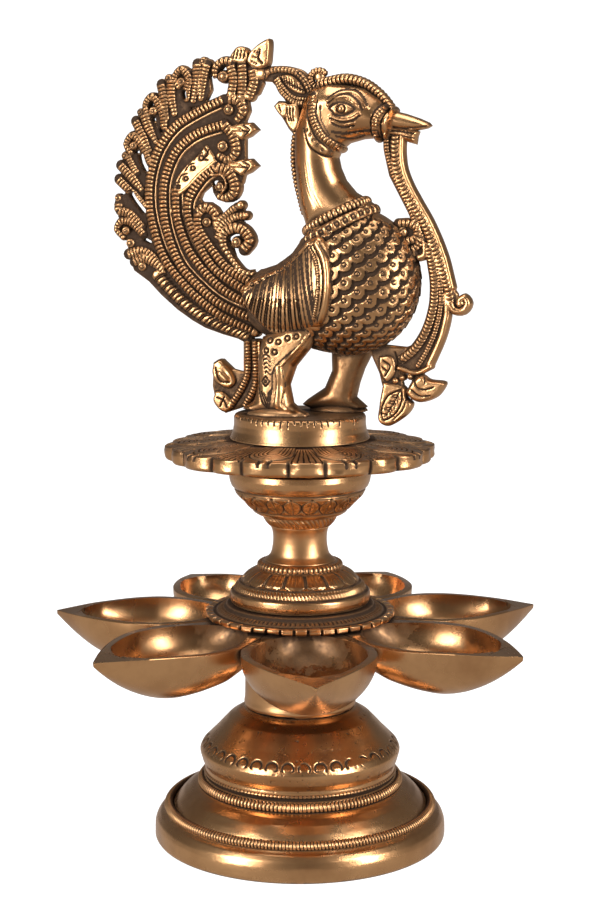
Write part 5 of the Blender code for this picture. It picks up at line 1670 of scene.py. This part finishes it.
def make_necklace():
    tilt = math.radians(-27.0)
    upper = tilted_ring("necklace_upper_cord", (11.9, 0.0, 199.6), tilt, (10.0, 9.2), 2.0, 1.7, 44, 0.30)
    dress(upper, "bird", CHASED, "necklace")
    lower = tilted_ring("necklace_lower_band", (12.9, 0.0, 196.2), tilt, (11.8, 11.4), 2.1, 1.9, 30, 0.26,
                        12, dots=True)
    dress(lower, "bird", CHASED)


# Lotus plate and drum

PETAL_PITCH = TAU / 10
BROAD_PETAL = math.radians(20.5)
FIRST_PETAL = math.radians(-88.6)


def make_lotus_plate():
    low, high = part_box("lotus_plate")
    bottom, top = low[2] / MM, high[2] / MM
    profile = [
        (5.3, top), (24.0, top - 0.1), (33.0, 128.8), (41.6, 128.1), (42.7, 127.8), (42.8, 126.0),
        (42.7, 124.3), (42.0, 123.5), (30.0, 121.9), (20.0, bottom), (5.3, bottom),
    ]
    line = resample(soften(profile, 0.35), 0.3)
    segments = 1200
    r, z, turn = spun_grid(line, segments)
    local = (turn - FIRST_PETAL + 0.5 * PETAL_PITCH) % PETAL_PITCH - 0.5 * PETAL_PITCH
    broad = np.abs(local) < 0.5 * BROAD_PETAL
    slim = (turn - FIRST_PETAL) % PETAL_PITCH - 0.5 * PETAL_PITCH
    half_slim = 0.5 * (PETAL_PITCH - BROAD_PETAL)
    along = np.where(broad, 0.5 + local / BROAD_PETAL, 0.5 + slim / (2 * half_slim))
    lobe = np.where(broad, 2.7, 2.0) * np.clip(np.sin(np.pi * np.clip(along, 0, 1)), 0, 1) ** 0.6
    reach = 40.1 + lobe
    outer = np.clip((r - 30.0) / 12.8, 0.0, 1.0)
    shrink = 1.0 - outer ** 3 * (1.0 - reach / 42.8)
    hammered = 0.28 * value_noise(turn * 11.0, z * 0.5, 71, 1.0) * smooth_step(41.0, 42.4, r)
    upper = (z > 127.4 - 0.02 * r) & (r > 22.0)
    radius = r * shrink
    sideways = local * radius
    rise = np.clip((radius - 31.0) / 8.9, 0.0, 1.0)
    ring = np.hypot(sideways / (0.19 * np.clip(radius, 20, 36) + 0.3), rise)
    petal = 1.0 - smooth_step(0.97, 1.03, ring)
    ridges = np.abs(np.sin(np.pi * (ring - 0.10) / 0.185)) ** 0.8
    lines = (1.0 - smooth_step(0.10, 0.62, ridges)) * smooth_step(0.22, 0.30, ring)
    lines = lines * (1.0 - smooth_step(1.05, 1.12, ring))
    weave = 1.0 - smooth_step(0.0, 0.5, np.abs(np.sin(2.4 * (radius + 0.25 * sideways * sideways))))
    weave = weave * (1.0 - smooth_step(0.24, 0.30, ring))
    between = slim * radius
    fan = between / (0.078 * (radius - 17.0) + 0.2)
    vein = 1.0 - smooth_step(0.10, 0.55, np.abs(np.sin(np.pi * fan * 1.1 + 0.5 * np.pi)))
    vein = vein * smooth_step(1.02, 1.10, ring) * smooth_step(23.5, 26.0, radius)
    vein = vein * (1.0 - smooth_step(40.0, 41.6, radius))
    vein = vein * (np.abs(fan) < 2.8)
    height = 0.35 * petal - 0.75 * lines - 0.4 * weave - 0.85 * vein
    dark = np.maximum.reduce([lines, 0.9 * weave, vein, 0.65 * (1.0 - smooth_step(23.5, 25.5, radius)),
                              np.full(radius.shape, 0.3)])
    height = np.where(upper, height, 0.0)
    dark = np.where(upper, dark, 0.12)
    notch = 1.0 - smooth_step(0.0, 0.10, np.minimum(along, 1.0 - along))
    dark = np.maximum(dark, 0.9 * notch * smooth_step(37.0, 40.5, r))
    dark = np.where(z < 123.0, 0.25, dark)
    points = spun(radius + hammered, turn, z + height)
    plate = mesh_piece("lotus_petals", points, grid_faces(len(line), segments, True, True), dark)
    dress(plate, "bird", CHASED, "lotus_plate")


def make_pedestal():
    low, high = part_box("pedestal")
    bottom, top = low[2] / MM, high[2] / MM
    profile = [
        (0.4, top), (19.6, top), (20.5, top - 0.3), (20.9, top - 1.0), (20.9, 134.6), (21.2, 132.6),
        (21.9, 130.8), (22.2, 130.2), (22.1, bottom), (5.3, bottom), (5.3, 135.0), (0.4, 135.0),
    ]
    notches = 62

    def relief(theta, r, z):
        side = (r > 20.0) & (z > 131.0)
        along = (theta * notches / TAU) % 1.0 - 0.5
        x = along * TAU * 20.9 / notches
        deep = 1.2 + 1.1 * value_noise(theta * 13.0, np.zeros_like(z), 81, 1.0)
        mark = line_mark(x, 0.30) * smooth_step(top - 0.4 - deep, top - 0.1 - deep, z) * side
        # The drum's top face, under the bird, is made darker.
        top_face_dark = 0.4 * smooth_step(top - 0.9, top, z) * (r < 20.4)
        return -0.24 * mark, np.maximum(0.95 * mark, top_face_dark)

    drum = lathe("pedestal_drum", profile, 1176, relief, corner=0.3, step=0.42, patina_and_shade=0.17)
    dress(drum, "bird", POLISHED, "pedestal")


def make_tail_fan():
    dress(tail_relief().build("tail_fan_casting", seed=3), "bird", CHASED, "tail_fan")


def make_tail_stem():
    dress(stem_relief().build("tail_stem_casting", seed=4, rounding=1.7), "bird", CHASED, "tail_stem")


def make_vine():
    dress(vine_relief().build("vine_casting", seed=5, rounding=1.3), "bird", CHASED, "vine")


def make_crest_leaf():
    dress(crest_leaf_relief().build("crest_leaf_casting", seed=6), "bird", CHASED, "crest_leaf")


make_camera()
make_stage()
make_foot()
make_shoulder()
make_stud("dish_stud", "dish_screw")
make_stud("pillar_stud", "pillar_screw")
make_stud("finial_stud", "bird_screw")
make_hub()
make_bowls()
make_collar()
make_bell()
make_waist()
make_cup()
make_lotus_plate()
make_pedestal()
make_body()
make_wing(1)
make_wing(-1)
make_legs()
make_necklace()
make_neck_and_head()
make_crest_rope()
make_crest_leaf()
make_tail_fan()
make_tail_stem()
make_vine()
